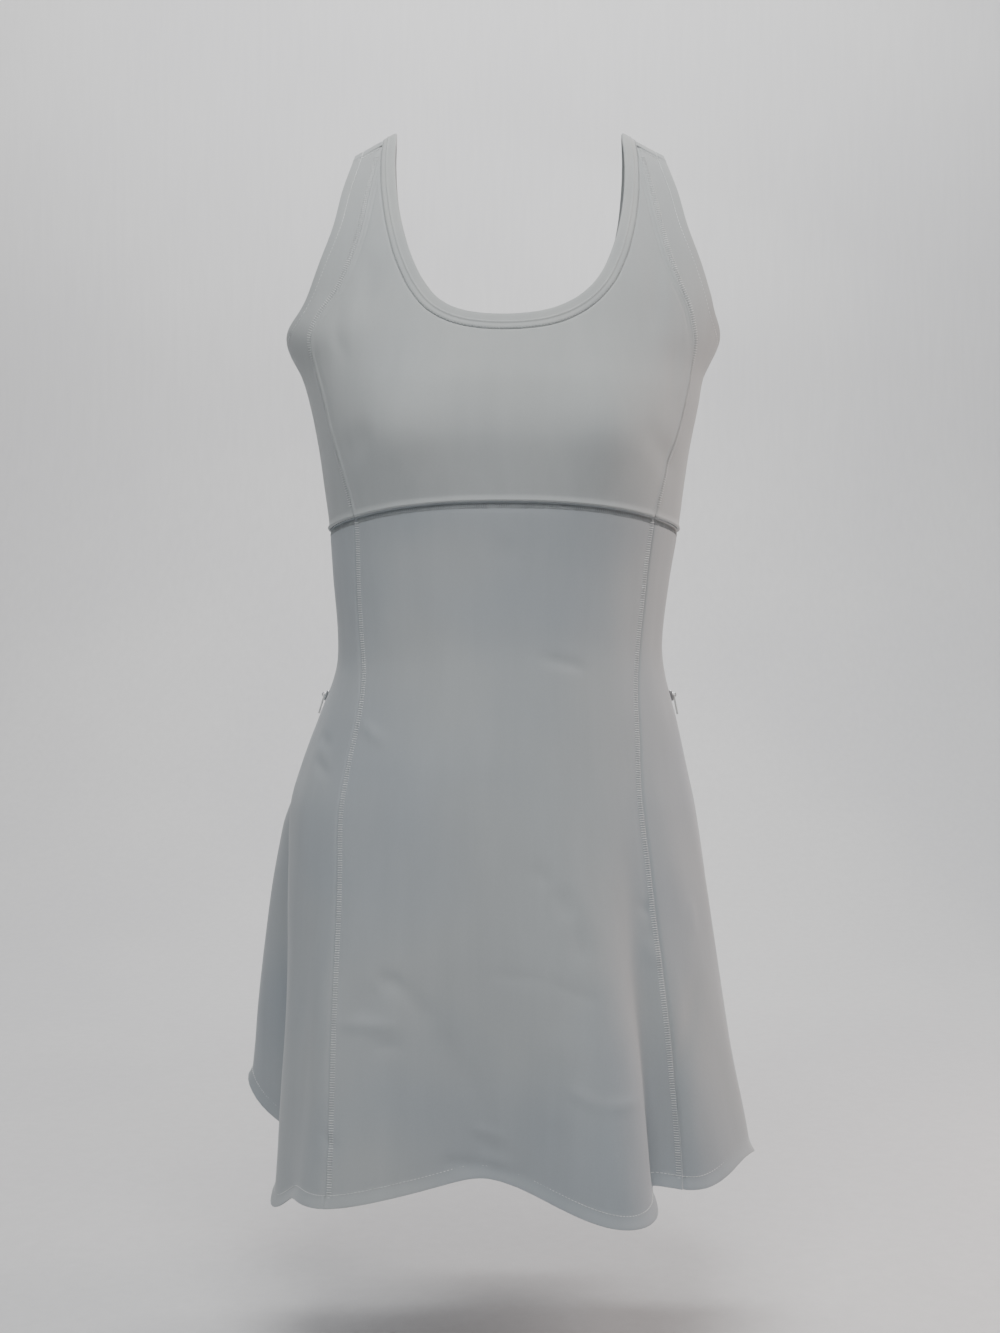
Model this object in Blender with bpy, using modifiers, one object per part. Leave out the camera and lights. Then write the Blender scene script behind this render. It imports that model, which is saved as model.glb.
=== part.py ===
"""An athletic dress in the form it has when worn, with no wearer inside.

The front of the bodice is cut in three, with a scoop neck and straps, and the back is one piece. They meet a
flared skirt of six panels at an underbust seam. The neck is bound, and a zip pocket lies in each side seam.
Metres, +Z up, the front faces -Y, and the origin lies midway between the straps at the height of their tops.
"""

import math

import bmesh
import bpy
from mathutils import Matrix, Vector

DRESS = "athletic_dress"

# Cloth and seams
CLOTH = 0.0012
SEAM_GAP = 0.0003
BINDING_WIDTH = 0.012
BINDING_WALL = 0.0020
BINDING_PROUD = 0.0004
NECK_QUARTER = 0.19

# Heights, as drops below the shoulder ridge
SHOULDER_SEAM = 0.010
ARMPIT = 0.152
UNDERBUST_MIDDLE = 0.281
UNDERBUST_SIDE = 0.293
HEM = 0.762
ZIP_TOP = 0.412
ZIP_END = 0.556

# The shoulder ridge
ARCH_HEIGHT = 0.160
ARCH_POWER = 1.6
SHOULDER_SLOPE = 0.56
LEVEL_STRAP = 0.108
SLOPE_ENDS = 0.075

# The body of the dress at each drop: half its width, its depth to the front and to the back of the side seams,
# the squareness of the section (2 is an ellipse), and how far its middle sways to the wearer's left.
SECTIONS = (
    # drop, half_width, front, back, squareness, sway
    (0.000, 0.166, 0.100, 0.088, 2.30, 0.004),
    (0.120, 0.166, 0.100, 0.088, 2.30, 0.004),
    (0.152, 0.164, 0.102, 0.089, 2.35, -0.001),
    (0.177, 0.1525, 0.109, 0.090, 2.40, -0.001),
    (0.200, 0.147, 0.115, 0.092, 2.40, 0.000),
    (0.232, 0.1405, 0.117, 0.093, 2.40, 0.000),
    (0.262, 0.1362, 0.111, 0.091, 2.35, 0.000),
    (0.290, 0.1326, 0.104, 0.088, 2.30, 0.000),
    (0.330, 0.1280, 0.096, 0.082, 2.25, -0.002),
    (0.376, 0.1238, 0.091, 0.077, 2.20, -0.003),
    (0.400, 0.1256, 0.091, 0.079, 2.15, -0.003),
    (0.437, 0.1365, 0.094, 0.090, 2.10, -0.005),
    (0.470, 0.1465, 0.099, 0.104, 2.05, -0.008),
    (0.500, 0.1543, 0.104, 0.115, 2.05, -0.009),
    (0.545, 0.1585, 0.112, 0.124, 2.05, -0.006),
    (0.606, 0.1625, 0.124, 0.133, 2.05, -0.002),
    (0.683, 0.1690, 0.138, 0.143, 2.05, 0.004),
    (0.740, 0.1740, 0.147, 0.150, 2.05, 0.008),
    (0.820, 0.1800, 0.158, 0.158, 2.05, 0.012),
)

# Each cup stands out this far at its fullest, at this distance from the middle and this drop.
CUP_OUT = 0.009
CUP_MIDDLE = 0.080
CUP_DROP = 0.232
CUP_WIDTH = 0.036
CUP_HEIGHT = 0.042

# The share of its full depth that a flute has at each drop: some begin at the hip, the rest below it.
GROWTH = {
    "hip": ((0.450, 0.00), (0.490, 0.12), (0.520, 0.36), (0.560, 0.54), (0.610, 0.68), (0.680, 0.86), (0.780, 1.02)),
    "skirt": ((0.470, 0.00), (0.520, 0.06), (0.570, 0.19), (0.620, 0.36), (0.680, 0.60), (0.730, 0.84), (0.780, 1.09)),
}

# The skirt's flutes at the hem. An angle is 0 at the centre front, 90 at the wearer's left side and 180 at the back.
FLUTES = (
    # angle, out, spread, hem_lower, growth
    (-9, -0.040, 19, -0.012, "skirt"),
    (21, 0.023, 12, 0.007, "skirt"),
    (37, -0.028, 6, -0.004, "skirt"),
    (66, 0.006, 13, -0.012, "skirt"),
    (-46, 0.018, 12, 0.006, "skirt"),
    (-72, 0.008, 13, 0.028, "skirt"),
    (-91, -0.022, 7, 0.000, "hip"),
    (-112, 0.056, 14, -0.036, "hip"),
    (-148, -0.024, 12, -0.003, "skirt"),
    (180, 0.024, 14, 0.003, "skirt"),
    (150, -0.024, 12, -0.004, "skirt"),
    (121, 0.030, 14, 0.003, "skirt"),
    (96, -0.008, 9, 0.000, "skirt"),
)

# The neck edge, one half, from the middle (0) to the shoulder seam (1)
NECK_FRONT = (
    # along, x, drop
    (0.00, 0.0000, 0.1490),
    (0.16, 0.0280, 0.1460),
    (0.30, 0.0480, 0.1370),
    (0.42, 0.0620, 0.1220),
    (0.54, 0.0715, 0.1030),
    (0.66, 0.0785, 0.0800),
    (0.78, 0.0830, 0.0540),
    (0.90, 0.0850, 0.0280),
    (1.00, 0.0850, 0.0100),
)
NECK_BACK = (
    # along, x, drop
    (0.00, 0.0000, -0.1220),
    (0.16, 0.0300, -0.1190),
    (0.30, 0.0530, -0.1100),
    (0.42, 0.0700, -0.0950),
    (0.54, 0.0805, -0.0740),
    (0.66, 0.0862, -0.0510),
    (0.75, 0.0884, -0.0290),
    (0.82, 0.0884, -0.0140),
    (0.88, 0.0872, -0.0040),
    (0.92, 0.0864, 0.0000),
    (0.96, 0.0856, 0.0040),
    (1.00, 0.0850, 0.0100),
)

# The armhole edge, from the side seam at the back, over the shoulder, to the side seam at the front
ARMHOLE = (
    # drop, x
    (-0.1500, 0.1620),
    (-0.1430, 0.1570),
    (-0.1250, 0.1475),
    (-0.1000, 0.1385),
    (-0.0700, 0.1310),
    (-0.0400, 0.1260),
    (-0.0150, 0.1205),
    (0.0000, 0.1180),
    (0.0100, 0.1180),
    (0.0400, 0.1245),
    (0.0700, 0.1300),
    (0.1000, 0.1400),
    (0.1240, 0.1480),
    (0.1350, 0.1530),
    (0.1450, 0.1610),
    (0.1500, 0.1635),
)

# The princess seam, its distance from the middle at each drop, the same at the back of the skirt
PRINCESS = (
    # drop, x
    (0.010, 0.0960),
    (0.050, 0.1030),
    (0.090, 0.1105),
    (0.122, 0.1215),
    (0.142, 0.1330),
    (0.160, 0.1385),
    (0.180, 0.1360),
    (0.200, 0.1315),
    (0.230, 0.1240),
    (0.262, 0.1150),
    (0.290, 0.1085),
    (0.348, 0.1043),
    (0.392, 0.1014),
    (0.424, 0.1020),
    (0.461, 0.1058),
    (0.500, 0.1092),
    (0.550, 0.1118),
    (0.640, 0.1165),
    (0.720, 0.1200),
    (0.820, 0.1230),
)

# Rows and columns of each panel's grid. A row table gives, at a row's number, how far down the panel it lies.
# Panels that meet at a seam have the same grid lines there.
ARM_ROWS = (
    # row, drop
    (0, SHOULDER_SEAM),
    (3, 0.036),
    (6, 0.096),
    (8, 0.128),
    (9, 0.140),
    (10, 0.148),
    (11, ARMPIT),
    (18, UNDERBUST_SIDE),
)
SIDE_COLUMNS = 7
CENTRE_HALF_COLUMNS = 8
BUST_HALF_COLUMNS = CENTRE_HALF_COLUMNS + ARM_ROWS[-1][0]
BUST_ROWS = 9
BACK_HALF_COLUMNS = BUST_HALF_COLUMNS
BACK_SIDE_COLUMNS = ARM_ROWS[-1][0] - ARM_ROWS[-2][0]
BACK_CORNER_COLUMN = 9
BACK_ARMPIT_COLUMN = BACK_CORNER_COLUMN + BACK_SIDE_COLUMNS
BACK_ROWS = 9
BINDING_COLUMNS = 4 * BUST_HALF_COLUMNS
ZIP_STEP = 0.004
BACK_EDGE_ROWS = (
    # column, drop
    (BACK_CORNER_COLUMN, -UNDERBUST_SIDE),
    (BACK_ARMPIT_COLUMN, -ARMPIT),
    (BACK_ARMPIT_COLUMN + 1, -0.149),
    (BACK_ARMPIT_COLUMN + 2, -0.140),
    (BACK_ARMPIT_COLUMN + 3, -0.120),
    (BACK_ARMPIT_COLUMN + 6, -0.030),
    (BACK_HALF_COLUMNS - 3, -0.006),
    (BACK_HALF_COLUMNS - 2, 0.000),
    (BACK_HALF_COLUMNS, SHOULDER_SEAM),
)
SKIRT_ROWS = (
    # row, drop
    (0, UNDERBUST_SIDE),
    (5, ZIP_TOP),
    (6, ZIP_TOP + ZIP_STEP),
    (11, ZIP_END - ZIP_STEP),
    (12, ZIP_END),
    (21, HEM),
)

# The pocket zip: the opening in the side seam, its tape, slider and pull tab
ZIP_HALF_OPENING = 0.0040
TAPE_COLUMNS = 8
TAPE_ROWS = 10
TAPE_SET_IN = 0.0008
TEETH_HEIGHT = 0.0007
TEETH_HALF_WIDTH = 0.0012
SLIDER_DROP = 0.4185
SLIDER_WIDTH = 0.0060
SLIDER_LENGTH = 0.0084
SLIDER_THICK = 0.0022
SLIDER_LIFT = 0.00035
SLIDER_ROUNDING = 0.0007
BRIDGE_RADIUS = 0.00155
BRIDGE_WIRE = 0.00045
BRIDGE_STEPS = 10
CORNER_STEPS = 4
HINGE_LIFT = 0.00100
PULL_WIDTH = 0.0036
PULL_THICK = 0.0010
PULL_LENGTH = 0.0150
PULL_BAR = 0.00045
PULL_EYE_END = 0.0024
PULL_EYE_HALF = 0.00085
PULL_TILT = math.radians(4.0)

# Steps for measuring directions on the cloth
TINY_ANGLE = math.radians(0.3)
TINY_DROP = 0.0004
TINY_ALONG = 0.004

SIDE_SEAM = math.radians(90)

MATERIALS = {
    # colour, roughness, metallic
    "bodice_cloth": ((0.40, 0.42, 0.43), 0.72, 0.0),
    "arm_panel_cloth": ((0.38, 0.40, 0.41), 0.72, 0.0),
    "back_cloth": ((0.37, 0.39, 0.40), 0.72, 0.0),
    "skirt_cloth": ((0.36, 0.38, 0.40), 0.72, 0.0),
    "binding_cloth": ((0.43, 0.45, 0.45), 0.68, 0.0),
    "zip_tape": ((0.33, 0.35, 0.37), 0.60, 0.0),
    "zip_metal": ((0.62, 0.63, 0.64), 0.32, 1.0),
    "pull_rubber": ((0.58, 0.58, 0.57), 0.50, 0.0),
}


def slope(table, index, column):
    """The slope of a column at a row, from the rows on either side."""
    before = table[max(index - 1, 0)]
    after = table[min(index + 1, len(table) - 1)]
    return (after[column] - before[column]) / (after[0] - before[0])


def sample(table, at):
    """The table's columns at a place between its rows, on a smooth curve through them."""
    at = min(max(at, table[0][0]), table[-1][0])
    index = max(i for i in range(len(table) - 1) if table[i][0] <= at)
    low, high = table[index], table[index + 1]
    span = high[0] - low[0]
    t = (at - low[0]) / span
    values = []
    for column in range(1, len(low)):
        start = slope(table, index, column) * span
        end = slope(table, index + 1, column) * span
        rise = high[column] - low[column]
        bend = 3 * rise - 2 * start - end
        turn = start + end - 2 * rise
        values.append(low[column] + start * t + bend * t * t + turn * t**3)
    return values


def straight(table, at):
    """The second column of the table at a place between its rows, on straight lines."""
    for (low, first), (high, last) in zip(table, table[1:]):
        if at <= high:
            return first + (last - first) * (at - low) / (high - low)
    return table[-1][1]


def both_sides(half):
    """A whole curve from its half: rows of (along, x, drop), from the middle out."""
    return [(-along, -x, drop) for along, x, drop in half[:0:-1]] + list(half)


def power(value, exponent):
    return math.copysign(abs(value) ** exponent, value)


def bell(distance, spread):
    return math.exp(-((distance / spread) ** 2))


def flute(angle, drop):
    """How far the flutes push the skirt out, and lower its hem, at a place on it."""
    degrees = math.degrees(angle) if drop > 0 else 180 - math.degrees(angle)
    shares = {name: sample(table, abs(drop))[0] for name, table in GROWTH.items()}
    out = lower = 0.0
    for at, depth, spread, hem_lower, growth in FLUTES:
        apart = (degrees - at + 180) % 360 - 180
        out += depth * bell(apart, spread) * shares[growth]
        lower += hem_lower * bell(apart, spread)
    return out, lower


def skin(angle, drop):
    """A point of the cloth's outer face.

    The angle is 0 in the middle and 90 degrees at the side seam. The drop is how far the point lies below the
    shoulder ridge, positive down the front and negative down the back.
    """
    half_width, front, back, squareness, sway = sample(SECTIONS, abs(drop))
    sideways = power(math.sin(angle), 2 / squareness)
    forwards = power(math.cos(angle), 2 / squareness)
    above = max(0.0, 1 - abs(drop) / ARCH_HEIGHT)
    arch = (1 - above**ARCH_POWER) ** (1 / ARCH_POWER)
    x = half_width * sideways
    depth = front if drop > 0 else back
    y = depth * arch * forwards
    if drop > 0:
        cup = bell(abs(x) - CUP_MIDDLE, CUP_WIDTH) * bell(drop - CUP_DROP, CUP_HEIGHT)
        y += CUP_OUT * cup * forwards
        y = -y
    out = flute(angle, drop)[0]
    x += out * math.sin(angle)
    y += out * math.copysign(math.cos(angle), -drop * math.cos(angle))
    rise = SHOULDER_SLOPE * (LEVEL_STRAP - max(abs(x), SLOPE_ENDS)) * above**2
    return Vector((x + sway, y, rise - abs(drop)))


def directions(angle, drop):
    """The cloth's two directions at a place: for a change of angle and for a change of drop."""
    across = skin(angle + TINY_ANGLE, drop) - skin(angle - TINY_ANGLE, drop)
    down = skin(angle, drop + TINY_DROP) - skin(angle, drop - TINY_DROP)
    return across / (2 * TINY_ANGLE), down / (2 * TINY_DROP)


def outward(angle, drop):
    across, down = directions(angle, drop)
    return down.cross(across).normalized()


def moved(spot, step):
    """The spot that lies a step away along the cloth."""
    across, down = directions(*spot)
    slant = across.dot(down)
    size = across.dot(across) * down.dot(down) - slant * slant
    along = step.dot(across)
    lower = step.dot(down)
    angle = (along * down.dot(down) - lower * slant) / size
    drop = (lower * across.dot(across) - along * slant) / size
    return spot[0] + angle, spot[1] + drop


def beside(curve, at, distance):
    """The spot at a distance from the curve, square to it, on its right as it runs."""
    spot = curve(at)
    ahead = skin(*curve(at + TINY_ALONG)) - skin(*curve(at - TINY_ALONG))
    return moved(spot, ahead.cross(outward(*spot)).normalized() * distance)


def angle_at(x, drop):
    """The angle of the spot at this distance from the middle."""
    half_width, _, _, squareness, _ = sample(SECTIONS, abs(drop))
    return math.asin(power(min(1.0, abs(x) / half_width), squareness / 2)) * (1 if x > 0 else -1)


def between(first, last, t):
    return tuple(a + (b - a) * t for a, b in zip(first, last))


def inset(spot, toward, gap=SEAM_GAP / 2):
    """The spot moved half a seam's gap, or another distance, toward another spot."""
    step = skin(*toward) - skin(*spot)
    return moved(spot, step.normalized() * gap)


def underbust(angle):
    return UNDERBUST_MIDDLE + (UNDERBUST_SIDE - UNDERBUST_MIDDLE) * math.sin(angle) ** 2


def princess(drop):
    return angle_at(sample(PRINCESS, abs(drop))[0], drop)


def armhole(drop):
    """The angle of the armhole's edge, which runs into the side seam at the armpit."""
    if abs(drop) >= ARMPIT:
        return SIDE_SEAM
    last = ARMHOLE[-1][0]
    if abs(drop) <= last:
        return angle_at(sample(ARMHOLE, drop)[0], drop)
    edge = angle_at(sample(ARMHOLE, math.copysign(last, drop))[0], drop)
    return edge + (SIDE_SEAM - edge) * (abs(drop) - last) / (ARMPIT - last)


NECK_FRONT_CURVE = both_sides(NECK_FRONT)
NECK_BACK_CURVE = both_sides(NECK_BACK)


def neck(at):
    """The neck's edge: -1 and 1 are the shoulder seams, 0 is the centre front, -2 and 2 the centre back."""
    if abs(at) <= 1:
        x, drop = sample(NECK_FRONT_CURVE, at)
    else:
        x, drop = sample(NECK_BACK_CURVE, (2 - abs(at)) * math.copysign(1, at))
    return angle_at(x, drop), drop


def mirrored(spot, sign):
    return spot[0] * sign, spot[1]


def level_with_seam(angle, drop):
    """A drop on the bodice, stretched a little so that the lowest row lies on the underbust seam."""
    share = (drop - SHOULDER_SEAM) / (UNDERBUST_SIDE - SHOULDER_SEAM)
    return SHOULDER_SEAM + (underbust(angle) - SHOULDER_SEAM) * share


def bust_edge(at):
    """The front panel's outer edge: the underbust seam, then the princess seam up to the shoulder seam."""
    column = abs(at) * BUST_HALF_COLUMNS
    corner = princess(UNDERBUST_SIDE)
    if column <= CENTRE_HALF_COLUMNS:
        angle = corner * column / CENTRE_HALF_COLUMNS
        return mirrored((angle, underbust(angle)), 1 if at > 0 else -1)
    nominal = straight(ARM_ROWS, BUST_HALF_COLUMNS - column)
    angle = princess(nominal)
    drop = level_with_seam(angle, nominal)
    return mirrored((angle, drop), 1 if at > 0 else -1)


def back_edge(at):
    """The back's outer edge: the underbust seam, the side seam, then the armhole over to the shoulder seam."""
    column = abs(at) * BACK_HALF_COLUMNS
    if column <= BACK_CORNER_COLUMN:
        angle = SIDE_SEAM * column / BACK_CORNER_COLUMN
        drop = -underbust(angle)
    else:
        drop = straight(BACK_EDGE_ROWS, column)
        angle = SIDE_SEAM if column <= BACK_ARMPIT_COLUMN else armhole(drop)
    return mirrored((angle, drop), 1 if at > 0 else -1)


def yoke_panel(along, down, edge, neck_at):
    """A spot of a panel that runs from the binding to its outer edge, along one half of the neck."""
    inner = beside(neck, neck_at(along), BINDING_WIDTH + SEAM_GAP)
    outer = edge(along)
    middle = between(inner, outer, 0.5)
    outer = inset(outer, middle)
    spot = between(inner, outer, down)
    at_shoulder = abs(along) == 1
    return (spot[0], spot[1] + shoulder_gap(edge)) if at_shoulder else spot


def shoulder_gap(edge):
    """Half the gap of the shoulder seam, down the front for the front panel and up for the back."""
    return SEAM_GAP / 2 if edge is bust_edge else -SEAM_GAP / 2


def front_bust(along, down):
    return yoke_panel(along, down, bust_edge, lambda at: at)


def back_bodice(along, down):
    return yoke_panel(along, down, back_edge, lambda at: math.copysign(2 - abs(at), at))


def arm_panel(sign):
    rows = ARM_ROWS[-1][0]

    def place(across, down):
        drop = straight(ARM_ROWS, (down + 1) / 2 * rows)
        inner, outer = (princess(drop), drop), (armhole(drop), drop)
        spot = between(inner, outer, (across + 1) / 2)
        if across == -1:
            spot = inset(spot, outer)
        if across == 1 and drop > ARMPIT - SEAM_GAP:
            spot = inset(spot, inner)
        if abs(down) == 1:
            drop -= down * SEAM_GAP / 2
        return mirrored((spot[0], level_with_seam(spot[0], drop)), sign)

    return place


def zip_opening(drop):
    """How far each skirt panel's edge stands back from the side seam."""
    rows = (
        (ZIP_TOP, SEAM_GAP / 2),
        (ZIP_TOP + ZIP_STEP, ZIP_HALF_OPENING),
        (ZIP_END - ZIP_STEP, ZIP_HALF_OPENING),
        (ZIP_END, SEAM_GAP / 2),
    )
    return SEAM_GAP / 2 if drop < ZIP_TOP else straight(rows, drop)


def skirt_spot(angle, row, facing):
    """A spot of the skirt: its rows run from the underbust seam to the hem, which the flutes lower."""
    nominal = straight(SKIRT_ROWS, row)
    share = (nominal - UNDERBUST_SIDE) / (HEM - UNDERBUST_SIDE)
    top = underbust(angle) + SEAM_GAP / 2
    hem = HEM + flute(angle, facing * HEM)[1]
    stretch = share**3
    drop = nominal + (top - UNDERBUST_SIDE) * (1 - share) + (hem - HEM) * stretch
    return angle, facing * drop


def skirt_centre(facing):
    rows = SKIRT_ROWS[-1][0]

    def place(across, down):
        row = (down + 1) / 2 * rows
        edge = princess(straight(SKIRT_ROWS, row))
        spot = skirt_spot(edge * across, row, facing)
        return inset(spot, (0, spot[1])) if abs(across) == 1 else spot

    return place


def skirt_side(facing, sign):
    rows = SKIRT_ROWS[-1][0]

    def place(across, down):
        row = (down + 1) / 2 * rows
        nominal = straight(SKIRT_ROWS, row)
        inner = princess(nominal)
        spot = skirt_spot(sign * (inner + (SIDE_SEAM - inner) * (across + 1) / 2), row, facing)
        if across == -1:
            spot = inset(spot, (sign * SIDE_SEAM, spot[1]))
        if across == 1:
            spot = inset(spot, (sign * inner, spot[1]), zip_opening(nominal))
        return spot

    return place


def binding(along, across):
    """The binding's ends meet at the centre back."""
    gap = SEAM_GAP / 2 / NECK_QUARTER
    return beside(neck, along * (2 - gap), BINDING_WIDTH * (across + 1) / 2)


def zip_tape(sign):
    def place(across, down):
        drop = ZIP_TOP + ZIP_STEP + (ZIP_END - ZIP_TOP - 2 * ZIP_STEP) * (down + 1) / 2
        facing = -1 if across > 0 else 1
        seam = (sign * SIDE_SEAM, facing * drop)
        if across == 0:
            return seam
        return inset(seam, (0, facing * drop), abs(across) * (ZIP_HALF_OPENING - SEAM_GAP))

    return place


def finish(name):
    """A plain material with this colour, roughness and metallic value."""
    colour, roughness, metallic = MATERIALS[name]
    material = bpy.data.materials.new(name)
    material.use_nodes = True
    shader = material.node_tree.nodes["Principled BSDF"]
    shader.inputs["Base Color"].default_value = (*colour, 1)
    shader.inputs["Roughness"].default_value = roughness
    shader.inputs["Metallic"].default_value = metallic
    material.diffuse_color = (*colour, 1)
    return material


def named_object(name, bm, material):
    mesh = bpy.data.meshes.new(name)
    bm.to_mesh(mesh)
    bm.free()
    mesh.shade_smooth()
    mesh.set_sharp_from_angle(angle=math.radians(50))
    mesh.materials.append(finish(material))
    obj = bpy.data.objects.new(name, mesh)
    bpy.data.collections[DRESS].objects.link(obj)
    return obj


def cloth_piece(name, material, columns, rows, place, wall=CLOTH, proud=0.0, ridge=None):
    """A flat slab of cloth, cut into a grid and laid on the form: place gives the spot of each grid point.

    The slab is triangulated before it is thickened, so that both faces fold along the same lines.
    """
    bm = bmesh.new()
    bmesh.ops.create_grid(bm, x_segments=columns, y_segments=rows, size=1)
    bmesh.ops.triangulate(bm, faces=bm.faces[:], quad_method="FIXED")
    made = bmesh.ops.extrude_face_region(bm, geom=bm.faces[:])["geom"]
    for vert in made:
        if isinstance(vert, bmesh.types.BMVert):
            vert.co.z = -1
    for vert in bm.verts:
        u, v, side = vert.co
        spot = place(round(u, 6), round(v, 6))
        lift = proud if side > -0.5 else proud - wall
        if ridge and side > -0.5:
            lift += ridge(u)
        vert.co = skin(*spot) + outward(*spot) * lift
    bmesh.ops.recalc_face_normals(bm, faces=bm.faces[:])
    return named_object(name, bm, material)


def teeth_ridge(across):
    """The closed teeth stand up along the middle of the tape."""
    return TEETH_HEIGHT * bell(across * ZIP_HALF_OPENING, TEETH_HALF_WIDTH)


def seat_on_zip(sign):
    """The slider's frame: its X points out of the cloth, its Z up the zip, and it sits on the teeth."""
    spot = (sign * SIDE_SEAM, SLIDER_DROP)
    out = outward(*spot)
    up = -directions(*spot)[1].normalized()
    base = skin(*spot) + out * (TEETH_HEIGHT - TAPE_SET_IN + SLIDER_LIFT)
    rotation = Matrix((out, up.cross(out), up)).transposed().to_4x4()
    return Matrix.Translation(base) @ rotation


def mesh_from(obj):
    """The object's evaluated mesh with its caps welded, in an object of its own, and the source removed."""
    graph = bpy.context.evaluated_depsgraph_get()
    mesh = bpy.data.meshes.new_from_object(obj.evaluated_get(graph))
    bm = bmesh.new()
    bm.from_mesh(mesh)
    bmesh.ops.remove_doubles(bm, verts=bm.verts[:], dist=1e-6)
    bm.to_mesh(mesh)
    bm.free()
    name = obj.name
    matrix = obj.matrix_world.copy()
    bpy.data.objects.remove(obj)
    copy = bpy.data.objects.new(name, mesh)
    copy.matrix_world = matrix
    return copy


def bridge_arch(name):
    """The wire arch that stands on the slider, with its feet sunk into the slider's body."""
    curve = bpy.data.curves.new(name, "CURVE")
    curve.dimensions = "3D"
    curve.bevel_depth = BRIDGE_WIRE
    curve.bevel_resolution = 2
    curve.use_fill_caps = True
    top = SLIDER_THICK + HINGE_LIFT
    points = [(SLIDER_THICK / 2, 0, -BRIDGE_RADIUS)]
    for step in range(BRIDGE_STEPS + 1):
        turn = math.pi * step / BRIDGE_STEPS
        points.append((top + BRIDGE_RADIUS * math.sin(turn), 0, -BRIDGE_RADIUS * math.cos(turn)))
    points.append((SLIDER_THICK / 2, 0, BRIDGE_RADIUS))
    spline = curve.splines.new("POLY")
    spline.points.add(len(points) - 1)
    for point, place in zip(spline.points, points):
        point.co = (*place, 1)
    obj = bpy.data.objects.new(name, curve)
    bpy.data.collections[DRESS].objects.link(obj)
    bpy.context.view_layer.update()
    return mesh_from(obj)


def slider(name, sign, cutters):
    """A rounded slider body with a wire bridge, joined into one solid."""
    bm = bmesh.new()
    bmesh.ops.create_cube(bm, size=1)
    size = (SLIDER_THICK, SLIDER_WIDTH, SLIDER_LENGTH)
    bmesh.ops.scale(bm, vec=size, verts=bm.verts[:])
    bmesh.ops.translate(bm, vec=(SLIDER_THICK / 2, 0, 0), verts=bm.verts[:])
    body = named_object(name, bm, "zip_metal")
    body.matrix_world = seat_on_zip(sign)
    rounding = body.modifiers.new("rounding", "BEVEL")
    rounding.width = SLIDER_ROUNDING
    rounding.segments = 2
    bridge = bridge_arch(name + "_bridge")
    bridge.matrix_world = seat_on_zip(sign)
    bridge.hide_render = True
    bridge.display_type = "WIRE"
    cutters.objects.link(bridge)
    union = body.modifiers.new("bridge", "BOOLEAN")
    union.operation = "UNION"
    union.object = bridge
    return body


def rounded_outline(spline, half_width, top, bottom, radius):
    """A rectangle with rounded corners, on a 2D curve's X and Y."""
    corners = (
        (half_width - radius, top - radius, 0),
        (-half_width + radius, top - radius, 90),
        (-half_width + radius, bottom + radius, 180),
        (half_width - radius, bottom + radius, 270),
    )
    points = []
    for x, y, start in corners:
        for step in range(CORNER_STEPS + 1):
            turn = math.radians(start + 90 * step / CORNER_STEPS)
            points.append((x + radius * math.cos(turn), y + radius * math.sin(turn)))
    spline.points.add(len(points) - 1)
    for point, place in zip(spline.points, points):
        point.co = (*place, 0, 1)
    spline.use_cyclic_u = True


def pull_tab(name, sign):
    """A flat tab with an eye, whose bar passes under the slider's bridge. Its origin is on the bar's axis."""
    curve = bpy.data.curves.new(name, "CURVE")
    curve.dimensions = "2D"
    curve.fill_mode = "BOTH"
    curve.extrude = PULL_THICK / 2
    outer = curve.splines.new("POLY")
    rounded_outline(outer, PULL_WIDTH / 2, PULL_BAR, -PULL_LENGTH, PULL_BAR)
    eye = curve.splines.new("POLY")
    rounded_outline(eye, PULL_EYE_HALF, -PULL_BAR, -PULL_EYE_END, PULL_BAR / 2)
    obj = bpy.data.objects.new(name, curve)
    bpy.data.collections[DRESS].objects.link(obj)
    bpy.context.view_layer.update()
    tab = mesh_from(obj)
    tab.data.materials.clear()
    tab.data.materials.append(finish("pull_rubber"))
    bpy.data.collections[DRESS].objects.link(tab)
    hinge = Matrix.Translation((SLIDER_THICK + HINGE_LIFT, 0, 0))
    flat_to_hanging = Matrix(((0, 0, 1), (1, 0, 0), (0, 1, 0))).to_4x4()
    tilt = Matrix.Rotation(PULL_TILT, 4, "Y")
    tab.matrix_world = seat_on_zip(sign) @ hinge @ tilt @ flat_to_hanging
    return tab


def make_bodice():
    columns = 2 * BUST_HALF_COLUMNS
    cloth_piece("front_bust", "bodice_cloth", columns, BUST_ROWS, lambda u, v: front_bust(u, (v + 1) / 2))
    columns = 2 * BACK_HALF_COLUMNS
    cloth_piece("back_bodice", "back_cloth", columns, BACK_ROWS, lambda u, v: back_bodice(u, (v + 1) / 2))
    for side, sign in (("left", 1), ("right", -1)):
        place = arm_panel(sign)
        cloth_piece(f"arm_panel_{side}", "arm_panel_cloth", SIDE_COLUMNS, ARM_ROWS[-1][0], place)
    cloth_piece(
        "neck_binding",
        "binding_cloth",
        BINDING_COLUMNS,
        2,
        binding,
        wall=BINDING_WALL,
        proud=BINDING_PROUD,
    )


def make_skirt():
    rows = SKIRT_ROWS[-1][0]
    columns = 2 * CENTRE_HALF_COLUMNS
    for half, facing in (("front", 1), ("back", -1)):
        cloth_piece(f"skirt_{half}_centre", "skirt_cloth", columns, rows, skirt_centre(facing))
        for side, sign in (("left", 1), ("right", -1)):
            place = skirt_side(facing, sign)
            cloth_piece(f"skirt_{half}_side_{side}", "skirt_cloth", SIDE_COLUMNS, rows, place)


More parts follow.
